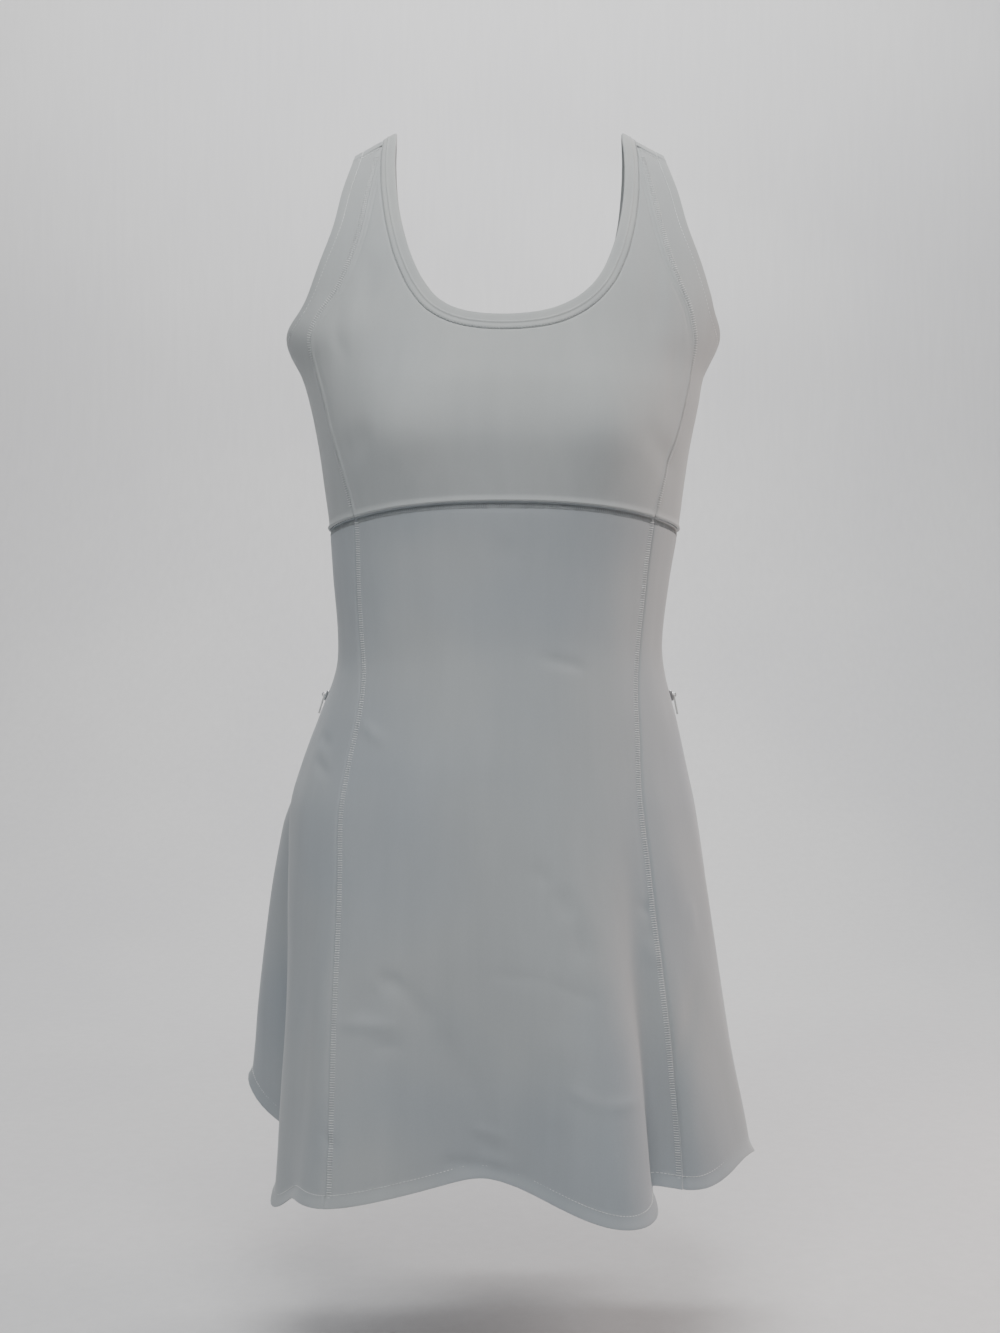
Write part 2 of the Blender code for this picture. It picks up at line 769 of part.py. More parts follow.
def make_zips(cutters):
    for side, sign in (("left", 1), ("right", -1)):
        cloth_piece(
            f"zip_tape_{side}",
            "zip_tape",
            TAPE_COLUMNS,
            TAPE_ROWS,
            zip_tape(sign),
            wall=CLOTH,
            proud=-TAPE_SET_IN,
            ridge=teeth_ridge,
        )
        slider(f"slider_{side}", sign, cutters)
        pull_tab(f"pull_{side}", sign)


def main():
    for obj in list(bpy.data.objects):
        bpy.data.objects.remove(obj, do_unlink=True)
    dress = bpy.data.collections.new(DRESS)
    cutters = bpy.data.collections.new("joined_shapes")
    cutters.hide_render = True
    for collection in (dress, cutters):
        bpy.context.scene.collection.children.link(collection)
    make_bodice()
    make_skirt()
    make_zips(cutters)


main()
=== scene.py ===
"""The looks of an athletic dress: fine stretch jersey with stitched seams, a bound neck and zip pockets.

Each cloth piece is a thin shell on the form of its solid. The tables of the form are those of the part's
source. Metres, +Z up, the front faces -Y, and the origin lies midway between the tops of the straps.
"""

import math

import bpy
import numpy as np
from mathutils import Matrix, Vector


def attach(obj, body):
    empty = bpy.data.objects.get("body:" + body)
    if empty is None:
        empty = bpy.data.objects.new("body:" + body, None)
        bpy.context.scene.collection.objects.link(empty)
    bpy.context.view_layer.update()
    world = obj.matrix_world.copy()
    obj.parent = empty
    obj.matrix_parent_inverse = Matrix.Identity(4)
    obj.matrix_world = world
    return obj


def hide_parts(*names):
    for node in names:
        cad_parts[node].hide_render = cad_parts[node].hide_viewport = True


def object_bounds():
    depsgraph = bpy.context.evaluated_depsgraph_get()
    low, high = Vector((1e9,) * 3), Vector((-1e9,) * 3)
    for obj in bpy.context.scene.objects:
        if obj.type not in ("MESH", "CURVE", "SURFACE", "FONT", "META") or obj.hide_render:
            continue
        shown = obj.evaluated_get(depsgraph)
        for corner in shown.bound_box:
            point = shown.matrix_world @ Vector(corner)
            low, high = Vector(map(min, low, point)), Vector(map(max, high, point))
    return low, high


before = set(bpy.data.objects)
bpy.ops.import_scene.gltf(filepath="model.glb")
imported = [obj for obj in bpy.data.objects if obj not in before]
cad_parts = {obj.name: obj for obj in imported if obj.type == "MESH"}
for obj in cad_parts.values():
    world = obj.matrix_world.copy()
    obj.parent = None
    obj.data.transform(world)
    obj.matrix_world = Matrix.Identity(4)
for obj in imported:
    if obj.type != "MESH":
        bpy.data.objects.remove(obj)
cad_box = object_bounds()

# Cloth and seams
SHELL = 0.0009
BINDING_WIDTH = 0.012
BINDING_WALL = 0.0018
BINDING_PROUD = 0.0003
NECK_QUARTER = 0.19
SHOWN_GAP = 0.00008

# Heights, as drops below the shoulder ridge
SHOULDER_SEAM = 0.010
ARMPIT = 0.152
UNDERBUST_MIDDLE = 0.281
UNDERBUST_SIDE = 0.293
HEM = 0.762
ZIP_TOP = 0.412
ZIP_END = 0.556

# The shoulder ridge
ARCH_HEIGHT = 0.160
ARCH_POWER = 1.6
SHOULDER_SLOPE = 0.56
LEVEL_STRAP = 0.108
SLOPE_ENDS = 0.075

# The body of the dress at each drop: half its width, its depth to the front and to the back of the side
# seams, the squareness of the section (2 is an ellipse), and how far its middle sways to the wearer's left.
SECTIONS = (
    # drop, half_width, front, back, squareness, sway
    (0.000, 0.166, 0.100, 0.088, 2.30, 0.004),
    (0.120, 0.166, 0.100, 0.088, 2.30, 0.004),
    (0.152, 0.164, 0.102, 0.089, 2.35, -0.001),
    (0.177, 0.1525, 0.109, 0.090, 2.40, -0.001),
    (0.200, 0.147, 0.115, 0.092, 2.40, 0.000),
    (0.232, 0.1405, 0.117, 0.093, 2.40, 0.000),
    (0.262, 0.1362, 0.111, 0.091, 2.35, 0.000),
    (0.290, 0.1326, 0.104, 0.088, 2.30, 0.000),
    (0.330, 0.1280, 0.096, 0.082, 2.25, -0.002),
    (0.376, 0.1238, 0.091, 0.077, 2.20, -0.003),
    (0.400, 0.1256, 0.091, 0.079, 2.15, -0.003),
    (0.437, 0.1365, 0.094, 0.090, 2.10, -0.005),
    (0.470, 0.1465, 0.099, 0.104, 2.05, -0.008),
    (0.500, 0.1543, 0.104, 0.115, 2.05, -0.009),
    (0.545, 0.1585, 0.112, 0.124, 2.05, -0.006),
    (0.606, 0.1625, 0.124, 0.133, 2.05, -0.002),
    (0.683, 0.1690, 0.138, 0.143, 2.05, 0.004),
    (0.740, 0.1740, 0.147, 0.150, 2.05, 0.008),
    (0.820, 0.1800, 0.158, 0.158, 2.05, 0.012),
)

# Each cup stands out this far at its fullest, at this distance from the middle and this drop.
CUP_OUT = 0.009
CUP_MIDDLE = 0.080
CUP_DROP = 0.232
CUP_WIDTH = 0.036
CUP_HEIGHT = 0.042

# The share of its full depth that a flute has at each drop: some begin at the hip, the rest below it.
GROWTH = {
    "hip": (
        (0.450, 0.00), (0.490, 0.12), (0.520, 0.36),
        (0.560, 0.54), (0.610, 0.68), (0.680, 0.86), (0.780, 1.02),
    ),
    "skirt": (
        (0.470, 0.00), (0.520, 0.06), (0.570, 0.19),
        (0.620, 0.36), (0.680, 0.60), (0.730, 0.84), (0.780, 1.09),
    ),
}

# The skirt's flutes at the hem. An angle is 0 at the centre front, 90 at the wearer's left side and 180 at
# the back.
FLUTES = (
    # angle, out, spread, hem_lower, growth
    (-9, -0.040, 19, -0.012, "skirt"),
    (21, 0.023, 12, 0.007, "skirt"),
    (37, -0.028, 6, -0.004, "skirt"),
    (66, 0.006, 13, -0.012, "skirt"),
    (-46, 0.018, 12, 0.006, "skirt"),
    (-72, 0.008, 13, 0.028, "skirt"),
    (-91, -0.022, 7, 0.000, "hip"),
    (-112, 0.056, 14, -0.036, "hip"),
    (-148, -0.024, 12, -0.003, "skirt"),
    (180, 0.024, 14, 0.003, "skirt"),
    (150, -0.024, 12, -0.004, "skirt"),
    (121, 0.030, 14, 0.003, "skirt"),
    (96, -0.008, 9, 0.000, "skirt"),
)

# The neck edge, one half, from the middle (0) to the shoulder seam (1)
NECK_FRONT = (
    # along, x, drop
    (0.00, 0.0000, 0.1490),
    (0.16, 0.0280, 0.1460),
    (0.30, 0.0480, 0.1370),
    (0.42, 0.0620, 0.1220),
    (0.54, 0.0715, 0.1030),
    (0.66, 0.0785, 0.0800),
    (0.78, 0.0830, 0.0540),
    (0.90, 0.0850, 0.0280),
    (1.00, 0.0850, 0.0100),
)
NECK_BACK = (
    # along, x, drop
    (0.00, 0.0000, -0.1220),
    (0.16, 0.0300, -0.1190),
    (0.30, 0.0530, -0.1100),
    (0.42, 0.0700, -0.0950),
    (0.54, 0.0805, -0.0740),
    (0.66, 0.0862, -0.0510),
    (0.75, 0.0884, -0.0290),
    (0.82, 0.0884, -0.0140),
    (0.88, 0.0872, -0.0040),
    (0.92, 0.0864, 0.0000),
    (0.96, 0.0856, 0.0040),
    (1.00, 0.0850, 0.0100),
)

# The armhole edge, from the side seam at the back, over the shoulder, to the side seam at the front
ARMHOLE = (
    # drop, x
    (-0.1500, 0.1620),
    (-0.1430, 0.1570),
    (-0.1250, 0.1475),
    (-0.1000, 0.1385),
    (-0.0700, 0.1310),
    (-0.0400, 0.1260),
    (-0.0150, 0.1205),
    (0.0000, 0.1180),
    (0.0100, 0.1180),
    (0.0400, 0.1245),
    (0.0700, 0.1300),
    (0.1000, 0.1400),
    (0.1240, 0.1480),
    (0.1350, 0.1530),
    (0.1450, 0.1610),
    (0.1500, 0.1635),
)

# The princess seam, its distance from the middle at each drop, the same at the back of the skirt
PRINCESS = (
    # drop, x
    (0.010, 0.0960),
    (0.050, 0.1030),
    (0.090, 0.1105),
    (0.122, 0.1215),
    (0.142, 0.1330),
    (0.160, 0.1385),
    (0.180, 0.1360),
    (0.200, 0.1315),
    (0.230, 0.1240),
    (0.262, 0.1150),
    (0.290, 0.1085),
    (0.348, 0.1043),
    (0.392, 0.1014),
    (0.424, 0.1020),
    (0.461, 0.1058),
    (0.500, 0.1092),
    (0.550, 0.1118),
    (0.640, 0.1165),
    (0.720, 0.1200),
    (0.820, 0.1230),
)

# How far down each panel its rows lie, and how the outer edges of the two yoke panels run round their corners
ARM_ROWS = (
    # row, drop
    (0, SHOULDER_SEAM),
    (3, 0.036),
    (6, 0.096),
    (8, 0.128),
    (9, 0.140),
    (10, 0.148),
    (11, ARMPIT),
    (18, UNDERBUST_SIDE),
)
LAST_ARM_ROW = 18
BUST_CORNER_COLUMN = 8
BUST_COLUMNS = BUST_CORNER_COLUMN + LAST_ARM_ROW
BACK_CORNER_COLUMN = 9
BACK_ARMPIT_COLUMN = 16
BACK_EDGE_ROWS = (
    # column, drop
    (BACK_CORNER_COLUMN, -UNDERBUST_SIDE),
    (BACK_ARMPIT_COLUMN, -ARMPIT),
    (BACK_ARMPIT_COLUMN + 1, -0.149),
    (BACK_ARMPIT_COLUMN + 2, -0.140),
    (BACK_ARMPIT_COLUMN + 3, -0.120),
    (BACK_ARMPIT_COLUMN + 6, -0.030),
    (BUST_COLUMNS - 3, -0.006),
    (BUST_COLUMNS - 2, 0.000),
    (BUST_COLUMNS, SHOULDER_SEAM),
)

# How far the back's grid lines bend down, and the columns where that starts, is fullest and ends
BACK_BEND = 0.040
BACK_BEND_COLUMNS = (4, 17, 24)

# The pocket zip
ZIP_STEP = 0.004
ZIP_HALF_OPENING = 0.0040
TAPE_SET_IN = 0.0011
TAPE_HALF_WIDTH = 0.0095

# Steps for measuring directions on the cloth
TINY_ANGLE = math.radians(0.3)
TINY_DROP = 0.0004
TINY_ALONG = 0.004
SIDE_SEAM = math.radians(90)

# The grids of the shells: their widest step, their first step at an edge, and how the steps grow from it
WIDE_STEP = 0.0032
FIRST_STEP = 0.00012
STEP_GROWTH = 1.6

# Soft folds in the cloth, each a trough or a ridge along a straight line that fades out at both ends.
# Angles are those of the flutes, drops are in metres down the dress.
FOLD_RADIUS = 0.140
FOLDS = (
    # from_angle, from_drop, to_angle, to_drop, lift, width
    # The bust
    (-35, 0.099, -33, 0.149, -0.0012, 0.008),
    (-43, 0.133, -45, 0.180, -0.0010, 0.008),
    (35, 0.097, 38, 0.157, -0.0012, 0.009),
    (50, 0.160, 54, 0.220, -0.0010, 0.009),
    (-38, 0.232, -54, 0.247, -0.0016, 0.010),
    (40, 0.230, 64, 0.257, -0.0016, 0.010),
    # The waist, and beside the zips
    (0, 0.305, 1, 0.326, -0.0009, 0.003),
    (11, 0.389, 28, 0.398, -0.0012, 0.004),
    (-45, 0.436, -33, 0.451, 0.0012, 0.004),
    (-66, 0.463, -53, 0.477, -0.0012, 0.004),
    (-69, 0.446, -57, 0.455, -0.0010, 0.004),
    # The left of the skirt's front
    (-36, 0.641, -32, 0.617, -0.0015, 0.006),
    (-32, 0.617, -26, 0.613, -0.0022, 0.007),
    (-27, 0.614, -19, 0.644, -0.0015, 0.007),
    (-22, 0.634, -8, 0.700, -0.0012, 0.010),
    (-43, 0.645, -27, 0.645, 0.0016, 0.004),
    (-34, 0.660, -26, 0.659, -0.0014, 0.005),
    (-46, 0.719, -41, 0.730, -0.0012, 0.004),
    (-10, 0.736, 0, 0.738, 0.0012, 0.004),
    (-20, 0.737, -10, 0.744, -0.0012, 0.004),
    (-12, 0.716, -2, 0.720, 0.0009, 0.004),
    # The right of the skirt's front
    (9, 0.535, 14, 0.550, -0.0012, 0.006),
    (14, 0.549, 18, 0.575, -0.0018, 0.007),
    (18, 0.573, 19, 0.600, -0.0016, 0.007),
    (18.5, 0.614, 12.5, 0.653, -0.0014, 0.009),
    (12.5, 0.657, 8, 0.737, -0.0016, 0.010),
    (-3, 0.610, 10, 0.611, -0.0007, 0.004),
    (9, 0.611, 23, 0.627, -0.0007, 0.004),
    (13, 0.681, 19, 0.693, 0.0014, 0.004),
    (19, 0.693, 29, 0.691, 0.0014, 0.004),
    (40, 0.563, 43, 0.574, -0.0014, 0.004),
    (41, 0.588, 43, 0.609, 0.0012, 0.004),
    (57, 0.617, 42, 0.697, -0.0022, 0.008),
    (43, 0.686, 39, 0.755, -0.0018, 0.007),
    (61, 0.565, 59, 0.590, 0.0010, 0.005),
    # The hidden sides and back, in the same manner
    (84, 0.560, 88, 0.700, -0.0014, 0.008),
    (-84, 0.590, -80, 0.700, -0.0014, 0.008),
    (-98, 0.600, -104, 0.690, 0.0016, 0.010),
    (-126, 0.500, -122, 0.640, -0.0020, 0.012),
    (-138, 0.620, -150, 0.700, 0.0014, 0.009),
    (-168, 0.590, -160, 0.720, -0.0016, 0.012),
    (172, 0.560, 166, 0.660, 0.0014, 0.010),
    (158, 0.640, 170, 0.650, -0.0012, 0.006),
    (138, 0.530, 134, 0.640, -0.0016, 0.010),
    (118, 0.640, 108, 0.730, 0.0014, 0.009),
    (-170, 0.700, -150, 0.712, 0.0010, 0.005),
    (-92, 0.300, -86, 0.360, -0.0008, 0.006),
    (93, 0.330, 86, 0.385, -0.0008, 0.006),
    (180, 0.330, 176, 0.400, -0.0010, 0.010),
    (-160, 0.390, -140, 0.410, -0.0012, 0.006),
    (160, 0.400, 138, 0.420, -0.0010, 0.006),
    (-168, 0.180, -150, 0.230, -0.0010, 0.010),
    (166, 0.190, 148, 0.240, -0.0010, 0.010),
    (150, 0.080, 140, 0.140, -0.0010, 0.008),
    (-150, 0.080, -141, 0.140, -0.0010, 0.008),
)

# Long low waves all over the cloth, deeper down the skirt
WAVE_HEIGHTS = ((0.0, 0.00012), (0.30, 0.00020), (0.50, 0.00045), (0.78, 0.00095))

# Threads and zip teeth
THREAD_RADIUS = 0.00024
LADDER_PITCH = 0.0017
COVER_PITCH = 0.0016
ROW_PITCH = 0.0026
TOOTH_PITCH = 0.0012
TOOTH_RADIUS = 0.00034
TUBE_SIDES = 5


def sample(table, at):
    """The table's columns at places between its rows, on smooth curves through them."""
    rows = np.array(table, float)
    at = np.clip(at, rows[0, 0], rows[-1, 0])
    slopes = np.empty_like(rows[:, 1:])
    slopes[1:-1] = (rows[2:, 1:] - rows[:-2, 1:]) / (rows[2:, :1] - rows[:-2, :1])
    slopes[0] = (rows[1, 1:] - rows[0, 1:]) / (rows[1, 0] - rows[0, 0])
    slopes[-1] = (rows[-1, 1:] - rows[-2, 1:]) / (rows[-1, 0] - rows[-2, 0])
    index = np.clip(np.searchsorted(rows[:, 0], at, side="right") - 1, 0, len(rows) - 2)
    span = (rows[index + 1, 0] - rows[index, 0])[..., None]
    t = (at - rows[index, 0])[..., None] / span
    low = rows[index, 1:]
    rise = rows[index + 1, 1:] - low
    start = slopes[index] * span
    end = slopes[index + 1] * span
    bend = 3 * rise - 2 * start - end
    turn = start + end - 2 * rise
    values = low + start * t + bend * t * t + turn * t**3
    return np.moveaxis(values, -1, 0)


def straight(table, at):
    """The second column of the table at places between its rows, on straight lines."""
    rows = np.array(table, float)
    return np.interp(at, rows[:, 0], rows[:, 1])


def both_sides(half):
    """A whole curve from its half: rows of (along, x, drop), from the middle out."""
    return [(-along, -x, drop) for along, x, drop in half[:0:-1]] + list(half)


def power(value, exponent):
    return np.sign(value) * np.abs(value) ** exponent


def bell(distance, spread):
    return np.exp(-((distance / spread) ** 2))


def ease(value, low, high):
    """0 below low and 1 above high, with a smooth rise between."""
    t = np.clip((value - low) / (high - low), 0, 1)
    return t * t * (3 - 2 * t)


def round_the_body(angle, drop):
    """The angle in degrees all round the dress, 0 at the centre front and 180 at the centre back."""
    degrees = np.degrees(angle)
    return np.where(drop > 0, degrees, 180 - degrees)


def apart(degrees, at):
    return (degrees - at + 180) % 360 - 180


def flute(angle, drop):
    """How far the flutes push the skirt out, and lower its hem, at a place on it."""
    degrees = round_the_body(angle, drop)
    shares = {name: sample(table, np.abs(drop))[0] for name, table in GROWTH.items()}
    out = np.zeros_like(degrees)
    lower = np.zeros_like(degrees)
    for at, depth, spread, hem_lower, growth in FLUTES:
        share = bell(apart(degrees, at), spread)
        out += depth * share * shares[growth]
        lower += hem_lower * share
    return out, lower


def skin(angle, drop):
    """Points of the cloth's outer face.

    The angle is 0 in the middle and 90 degrees at the side seam. The drop is how far the point lies below the
    shoulder ridge, positive down the front and negative down the back.
    """
    angle, drop = np.broadcast_arrays(np.asarray(angle, float), np.asarray(drop, float))
    half_width, front, back, squareness, sway = sample(SECTIONS, np.abs(drop))
    sideways = power(np.sin(angle), 2 / squareness)
    forwards = power(np.cos(angle), 2 / squareness)
    above = np.maximum(0.0, 1 - np.abs(drop) / ARCH_HEIGHT)
    arch = (1 - above**ARCH_POWER) ** (1 / ARCH_POWER)
    x = half_width * sideways
    y = np.where(drop > 0, front, back) * arch * forwards
    cup = bell(np.abs(x) - CUP_MIDDLE, CUP_WIDTH) * bell(drop - CUP_DROP, CUP_HEIGHT)
    y = np.where(drop > 0, -y - CUP_OUT * cup * forwards, y)
    out = flute(angle, drop)[0]
    x = x + out * np.sin(angle)
    y = y + out * np.abs(np.cos(angle)) * np.sign(-drop * np.cos(angle))
    rise = SHOULDER_SLOPE * (LEVEL_STRAP - np.maximum(np.abs(x), SLOPE_ENDS)) * above**2
    return np.stack([x + sway, y, rise - np.abs(drop)], axis=-1)


def dot(a, b):
    return (a * b).sum(axis=-1)


def unit(vectors):
    return vectors / np.linalg.norm(vectors, axis=-1, keepdims=True)


def directions(angle, drop):
    """The cloth's two directions at a place: for a change of angle and for a change of drop."""
    across = skin(angle + TINY_ANGLE, drop) - skin(angle - TINY_ANGLE, drop)
    down = skin(angle, drop + TINY_DROP) - skin(angle, drop - TINY_DROP)
    return across / (2 * TINY_ANGLE), down / (2 * TINY_DROP)


def outward(angle, drop):
    across, down = directions(angle, drop)
    return unit(np.cross(down, across))


def moved(spot, step):
    """The spot that lies a step away along the cloth."""
    across, down = directions(*spot)
    slant = dot(across, down)
    size = dot(across, across) * dot(down, down) - slant * slant
    along = dot(step, across)
    lower = dot(step, down)
    angle = (along * dot(down, down) - lower * slant) / size
    drop = (lower * dot(across, across) - along * slant) / size
    return spot[0] + angle, spot[1] + drop


def beside(curve, at, distance):
    """The spot at a distance from the curve, square to it, on its right as it runs."""
    spot = curve(at)
    ahead = skin(*curve(at + TINY_ALONG)) - skin(*curve(at - TINY_ALONG))
    return moved(spot, unit(np.cross(ahead, outward(*spot))) * np.asarray(distance)[..., None])


def angle_at(x, drop):
    """The angle of the spot at this distance from the middle."""
    half_width, _, _, squareness, _ = sample(SECTIONS, np.abs(drop))
    share = np.minimum(1.0, np.abs(x) / half_width)
    return np.arcsin(share ** (squareness / 2)) * np.where(x > 0, 1, -1)


def between(first, last, t):
    return tuple(a + (b - a) * t for a, b in zip(first, last))


def inset(spot, toward, gap):
    """The spot moved a distance toward another spot."""
    step = unit(skin(*toward) - skin(*spot))
    return moved(spot, step * np.asarray(gap)[..., None])


def underbust(angle):
    return UNDERBUST_MIDDLE + (UNDERBUST_SIDE - UNDERBUST_MIDDLE) * np.sin(angle) ** 2


def princess(drop):
    return angle_at(sample(PRINCESS, np.abs(drop))[0], drop)


def armhole(drop):
    """The angle of the armhole's edge, which runs into the side seam at the armpit."""
    last = ARMHOLE[-1][0]
    held = np.clip(drop, -last, last)
    edge = angle_at(sample(ARMHOLE, held)[0], held)
    share = np.clip((np.abs(drop) - last) / (ARMPIT - last), 0, 1)
    return edge + (SIDE_SEAM - edge) * share


NECK_FRONT_CURVE = both_sides(NECK_FRONT)
NECK_BACK_CURVE = both_sides(NECK_BACK)


def neck(at):
    """The neck's edge: -1 and 1 are the shoulder seams, 0 is the centre front, -2 and 2 the centre back."""
    at = np.asarray(at, float)
    front = sample(NECK_FRONT_CURVE, at)
    back = sample(NECK_BACK_CURVE, (2 - np.abs(at)) * np.where(at > 0, 1, -1))
    x, drop = np.where(np.abs(at) <= 1, front, back)
    return angle_at(x, drop), drop


def level_with_seam(angle, drop):
    """A drop on the bodice, stretched a little so that the lowest row lies on the underbust seam."""
    share = (drop - SHOULDER_SEAM) / (UNDERBUST_SIDE - SHOULDER_SEAM)
    return SHOULDER_SEAM + (underbust(angle) - SHOULDER_SEAM) * share


def bust_edge(at):
    """The front panel's outer edge: the underbust seam, then the princess seam up to the shoulder seam."""
    column = np.abs(at) * BUST_COLUMNS
    side = np.where(at > 0, 1, -1)
    low_angle = princess(UNDERBUST_SIDE) * np.minimum(column / BUST_CORNER_COLUMN, 1)
    nominal = straight(ARM_ROWS, BUST_COLUMNS - column)
    high_angle = princess(nominal)
    low = column <= BUST_CORNER_COLUMN
    angle = np.where(low, low_angle, high_angle)
    drop = np.where(low, underbust(low_angle), level_with_seam(high_angle, nominal))
    return angle * side, drop


def back_edge(at):
    """The back's outer edge: the underbust seam, the side seam, then the armhole to the shoulder seam."""
    column = np.abs(at) * BUST_COLUMNS
    side = np.where(at > 0, 1, -1)
    low_angle = SIDE_SEAM * np.minimum(column / BACK_CORNER_COLUMN, 1)
    high = straight(BACK_EDGE_ROWS, column)
    high_angle = np.where(column <= BACK_ARMPIT_COLUMN, SIDE_SEAM, armhole(high))
    low = column <= BACK_CORNER_COLUMN
    return np.where(low, low_angle, high_angle) * side, np.where(low, -underbust(low_angle), high)


def yoke_panel(along, down, edge, neck_at):
    """Spots of a panel that runs from the binding to its outer edge, along one half of the neck."""
    along = along * (1 - SHOWN_GAP / 2 / NECK_QUARTER)
    inner = beside(neck, neck_at(along), np.full_like(along, BINDING_WIDTH + SHOWN_GAP))
    outer = edge(along)
    outer = inset(outer, between(inner, outer, 0.5), np.full_like(along, SHOWN_GAP / 2))
    return between(inner, outer, (down + 1) / 2)


def front_bust(along, down):
    return yoke_panel(along, down, bust_edge, lambda at: at)


def behind_neck(at):
    """The place on the back half of the neck for a place across the back."""
    return np.where(at > 0, 2 - np.abs(at), np.abs(at) - 2)


def back_bodice(along, down):
    """The back, whose grid lines bend down on their way, so that they go round the armhole."""
    angle, drop = yoke_panel(along, down, back_edge, behind_neck)
    column = np.abs(along) * BUST_COLUMNS
    low, middle, high = BACK_BEND_COLUMNS
    share = ease(column, low, middle) * (1 - ease(column, middle, high))
    return angle, drop - BACK_BEND * (1 - down**2) * share


def arm_panel(sign):
    def place(across, down):
        drop = straight(ARM_ROWS, (down + 1) / 2 * LAST_ARM_ROW)
        share = np.clip((across + 1) / 2, 0.001, 0.9995)
        angle = princess(drop) + (armhole(drop) - princess(drop)) * share
        return angle * sign, level_with_seam(angle, drop)

    return place


def zip_opening(drop):
    """How far each skirt panel's edge stands back from the side seam."""
    rows = (
        (ZIP_TOP, SHOWN_GAP / 2),
        (ZIP_TOP + ZIP_STEP, ZIP_HALF_OPENING),
        (ZIP_END - ZIP_STEP, ZIP_HALF_OPENING),
        (ZIP_END, SHOWN_GAP / 2),
    )
    return straight(rows, drop)


def skirt_spot(angle, down, facing):
    """Spots of the skirt: its rows run from the underbust seam to the hem, which the flutes lower."""
    share = (down + 1) / 2
    nominal = UNDERBUST_SIDE + (HEM - UNDERBUST_SIDE) * share
    top = underbust(angle) + SHOWN_GAP / 2
    hem = HEM + flute(angle, facing * np.full_like(angle, HEM))[1]
    drop = nominal + (top - UNDERBUST_SIDE) * (1 - share) + (hem - HEM) * share**3
    return angle, facing * drop


def nominal_drop(down):
    return UNDERBUST_SIDE + (HEM - UNDERBUST_SIDE) * (down + 1) / 2


def skirt_centre(facing):
    def place(across, down):
        edge = princess(nominal_drop(down)) * (1 - SHOWN_GAP)
        return skirt_spot(edge * across, down, facing)

    return place


def skirt_side(facing, sign):
    def place(across, down):
        nominal = nominal_drop(down)
        inner = skirt_spot(sign * princess(nominal), down, facing)
        seam = skirt_spot(np.full_like(down, sign * SIDE_SEAM), down, facing)
        outer = inset(seam, (inner[0], seam[1]), zip_opening(nominal))
        angle = inner[0] + (outer[0] - inner[0]) * np.clip((across + 1) / 2, 0.0005, 1)
        return skirt_spot(angle, down, facing)

    return place


def slanted_wave(turn, level, count, slant, start=0):
    """A wave that goes round the dress this many times, and slants as it goes down."""
    return np.sin(count * turn + slant * level + start)


def folds(angle, drop):
    """The lift of the soft folds at a place."""
    degrees = round_the_body(angle, drop)
    level = np.abs(drop)
    lift = np.zeros_like(degrees)
    for from_angle, from_drop, to_angle, to_drop, height, width in FOLDS:
        across = np.radians(apart(to_angle, from_angle)) * FOLD_RADIUS
        down = to_drop - from_drop
        length = math.hypot(across, down)
        x = np.radians(apart(degrees, from_angle)) * FOLD_RADIUS
        y = level - from_drop
        along = (x * across + y * down) / length**2
        aside = (x * down - y * across) / length
        fade = ease(along, -0.15, 0.35) * (1 - ease(along, 0.65, 1.15))
        lift += height * fade * bell(aside, width)
    turn = np.radians(degrees)
    waves = slanted_wave(turn, level, 11, 26) * slanted_wave(turn, level, 7, -19, 1)
    waves = waves + 0.5 * slanted_wave(turn, level, 19, -31)
    return lift + straight(WAVE_HEIGHTS, level) * waves


def on_cloth(angle, drop, lift):
    """Points that lie off the cloth's smooth form by the folds and this lift."""
    return skin(angle, drop) + outward(angle, drop) * (folds(angle, drop) + lift)[..., None]


def wobble(along, pitch):
    """An uneven wave along a seam, between about -1 and 1."""
    turn = 2 * math.pi * along / pitch
    return 0.5 * np.sin(turn) + 0.3 * np.sin(1.73 * turn + 1.1) + 0.2 * np.sin(0.61 * turn + 2.3)


# How a panel's outer face rises or dips near each kind of edge, at a distance from it and a place along it


def ridge(distance, height, at, width):
    """A rise, or with a negative height a ditch, that runs along the edge at a distance from it."""
    return height * bell(distance - at, width)


def puckers(distance, along, height, pitch, at, width):
    """Uneven puckers that run along the edge at a distance from it."""
    return height * wobble(along, pitch) * bell(distance - at, width)


def double_cloth(distance, height, low, high):
    """The rise of cloth turned under at the edge, which ends between two distances."""
    return height * (1 - ease(distance, low, high))


def above_underbust(distance, along):
    """The bodice's folded edge stands up as a ridge along the seam."""
    return ridge(distance, height=0.0014, at=0.0014, width=0.0013)


def below_underbust(distance, along):
    """The skirt tucks in under the ridge, where the cover stitches lie, and puckers below them."""
    pucker = puckers(distance, along, height=0.00022, pitch=0.0058, at=0.0062, width=0.0022)
    return ridge(distance, height=-0.0010, at=0.0018, width=0.0030) + pucker


def centre_of_princess(distance, along):
    """A narrow ridge beside the seam, then the flat band of the cover stitches and a shallow ditch."""
    pucker = puckers(distance, along, height=0.00012, pitch=0.0064, at=0.0062, width=0.0022)
    edge = ridge(distance, height=0.00055, at=0.0009, width=0.0007)
    return edge + ridge(distance, height=-0.00035, at=0.0050, width=0.0009) + pucker


def side_of_princess(distance, along):
    return ridge(distance, height=-0.00075, at=0.0006, width=0.0010)


def front_of_side_seam(distance, along):
    return ridge(distance, height=0.00045, at=0.0009, width=0.0008)


def back_of_side_seam(distance, along):
    return ridge(distance, height=-0.00025, at=0.0006, width=0.0009)


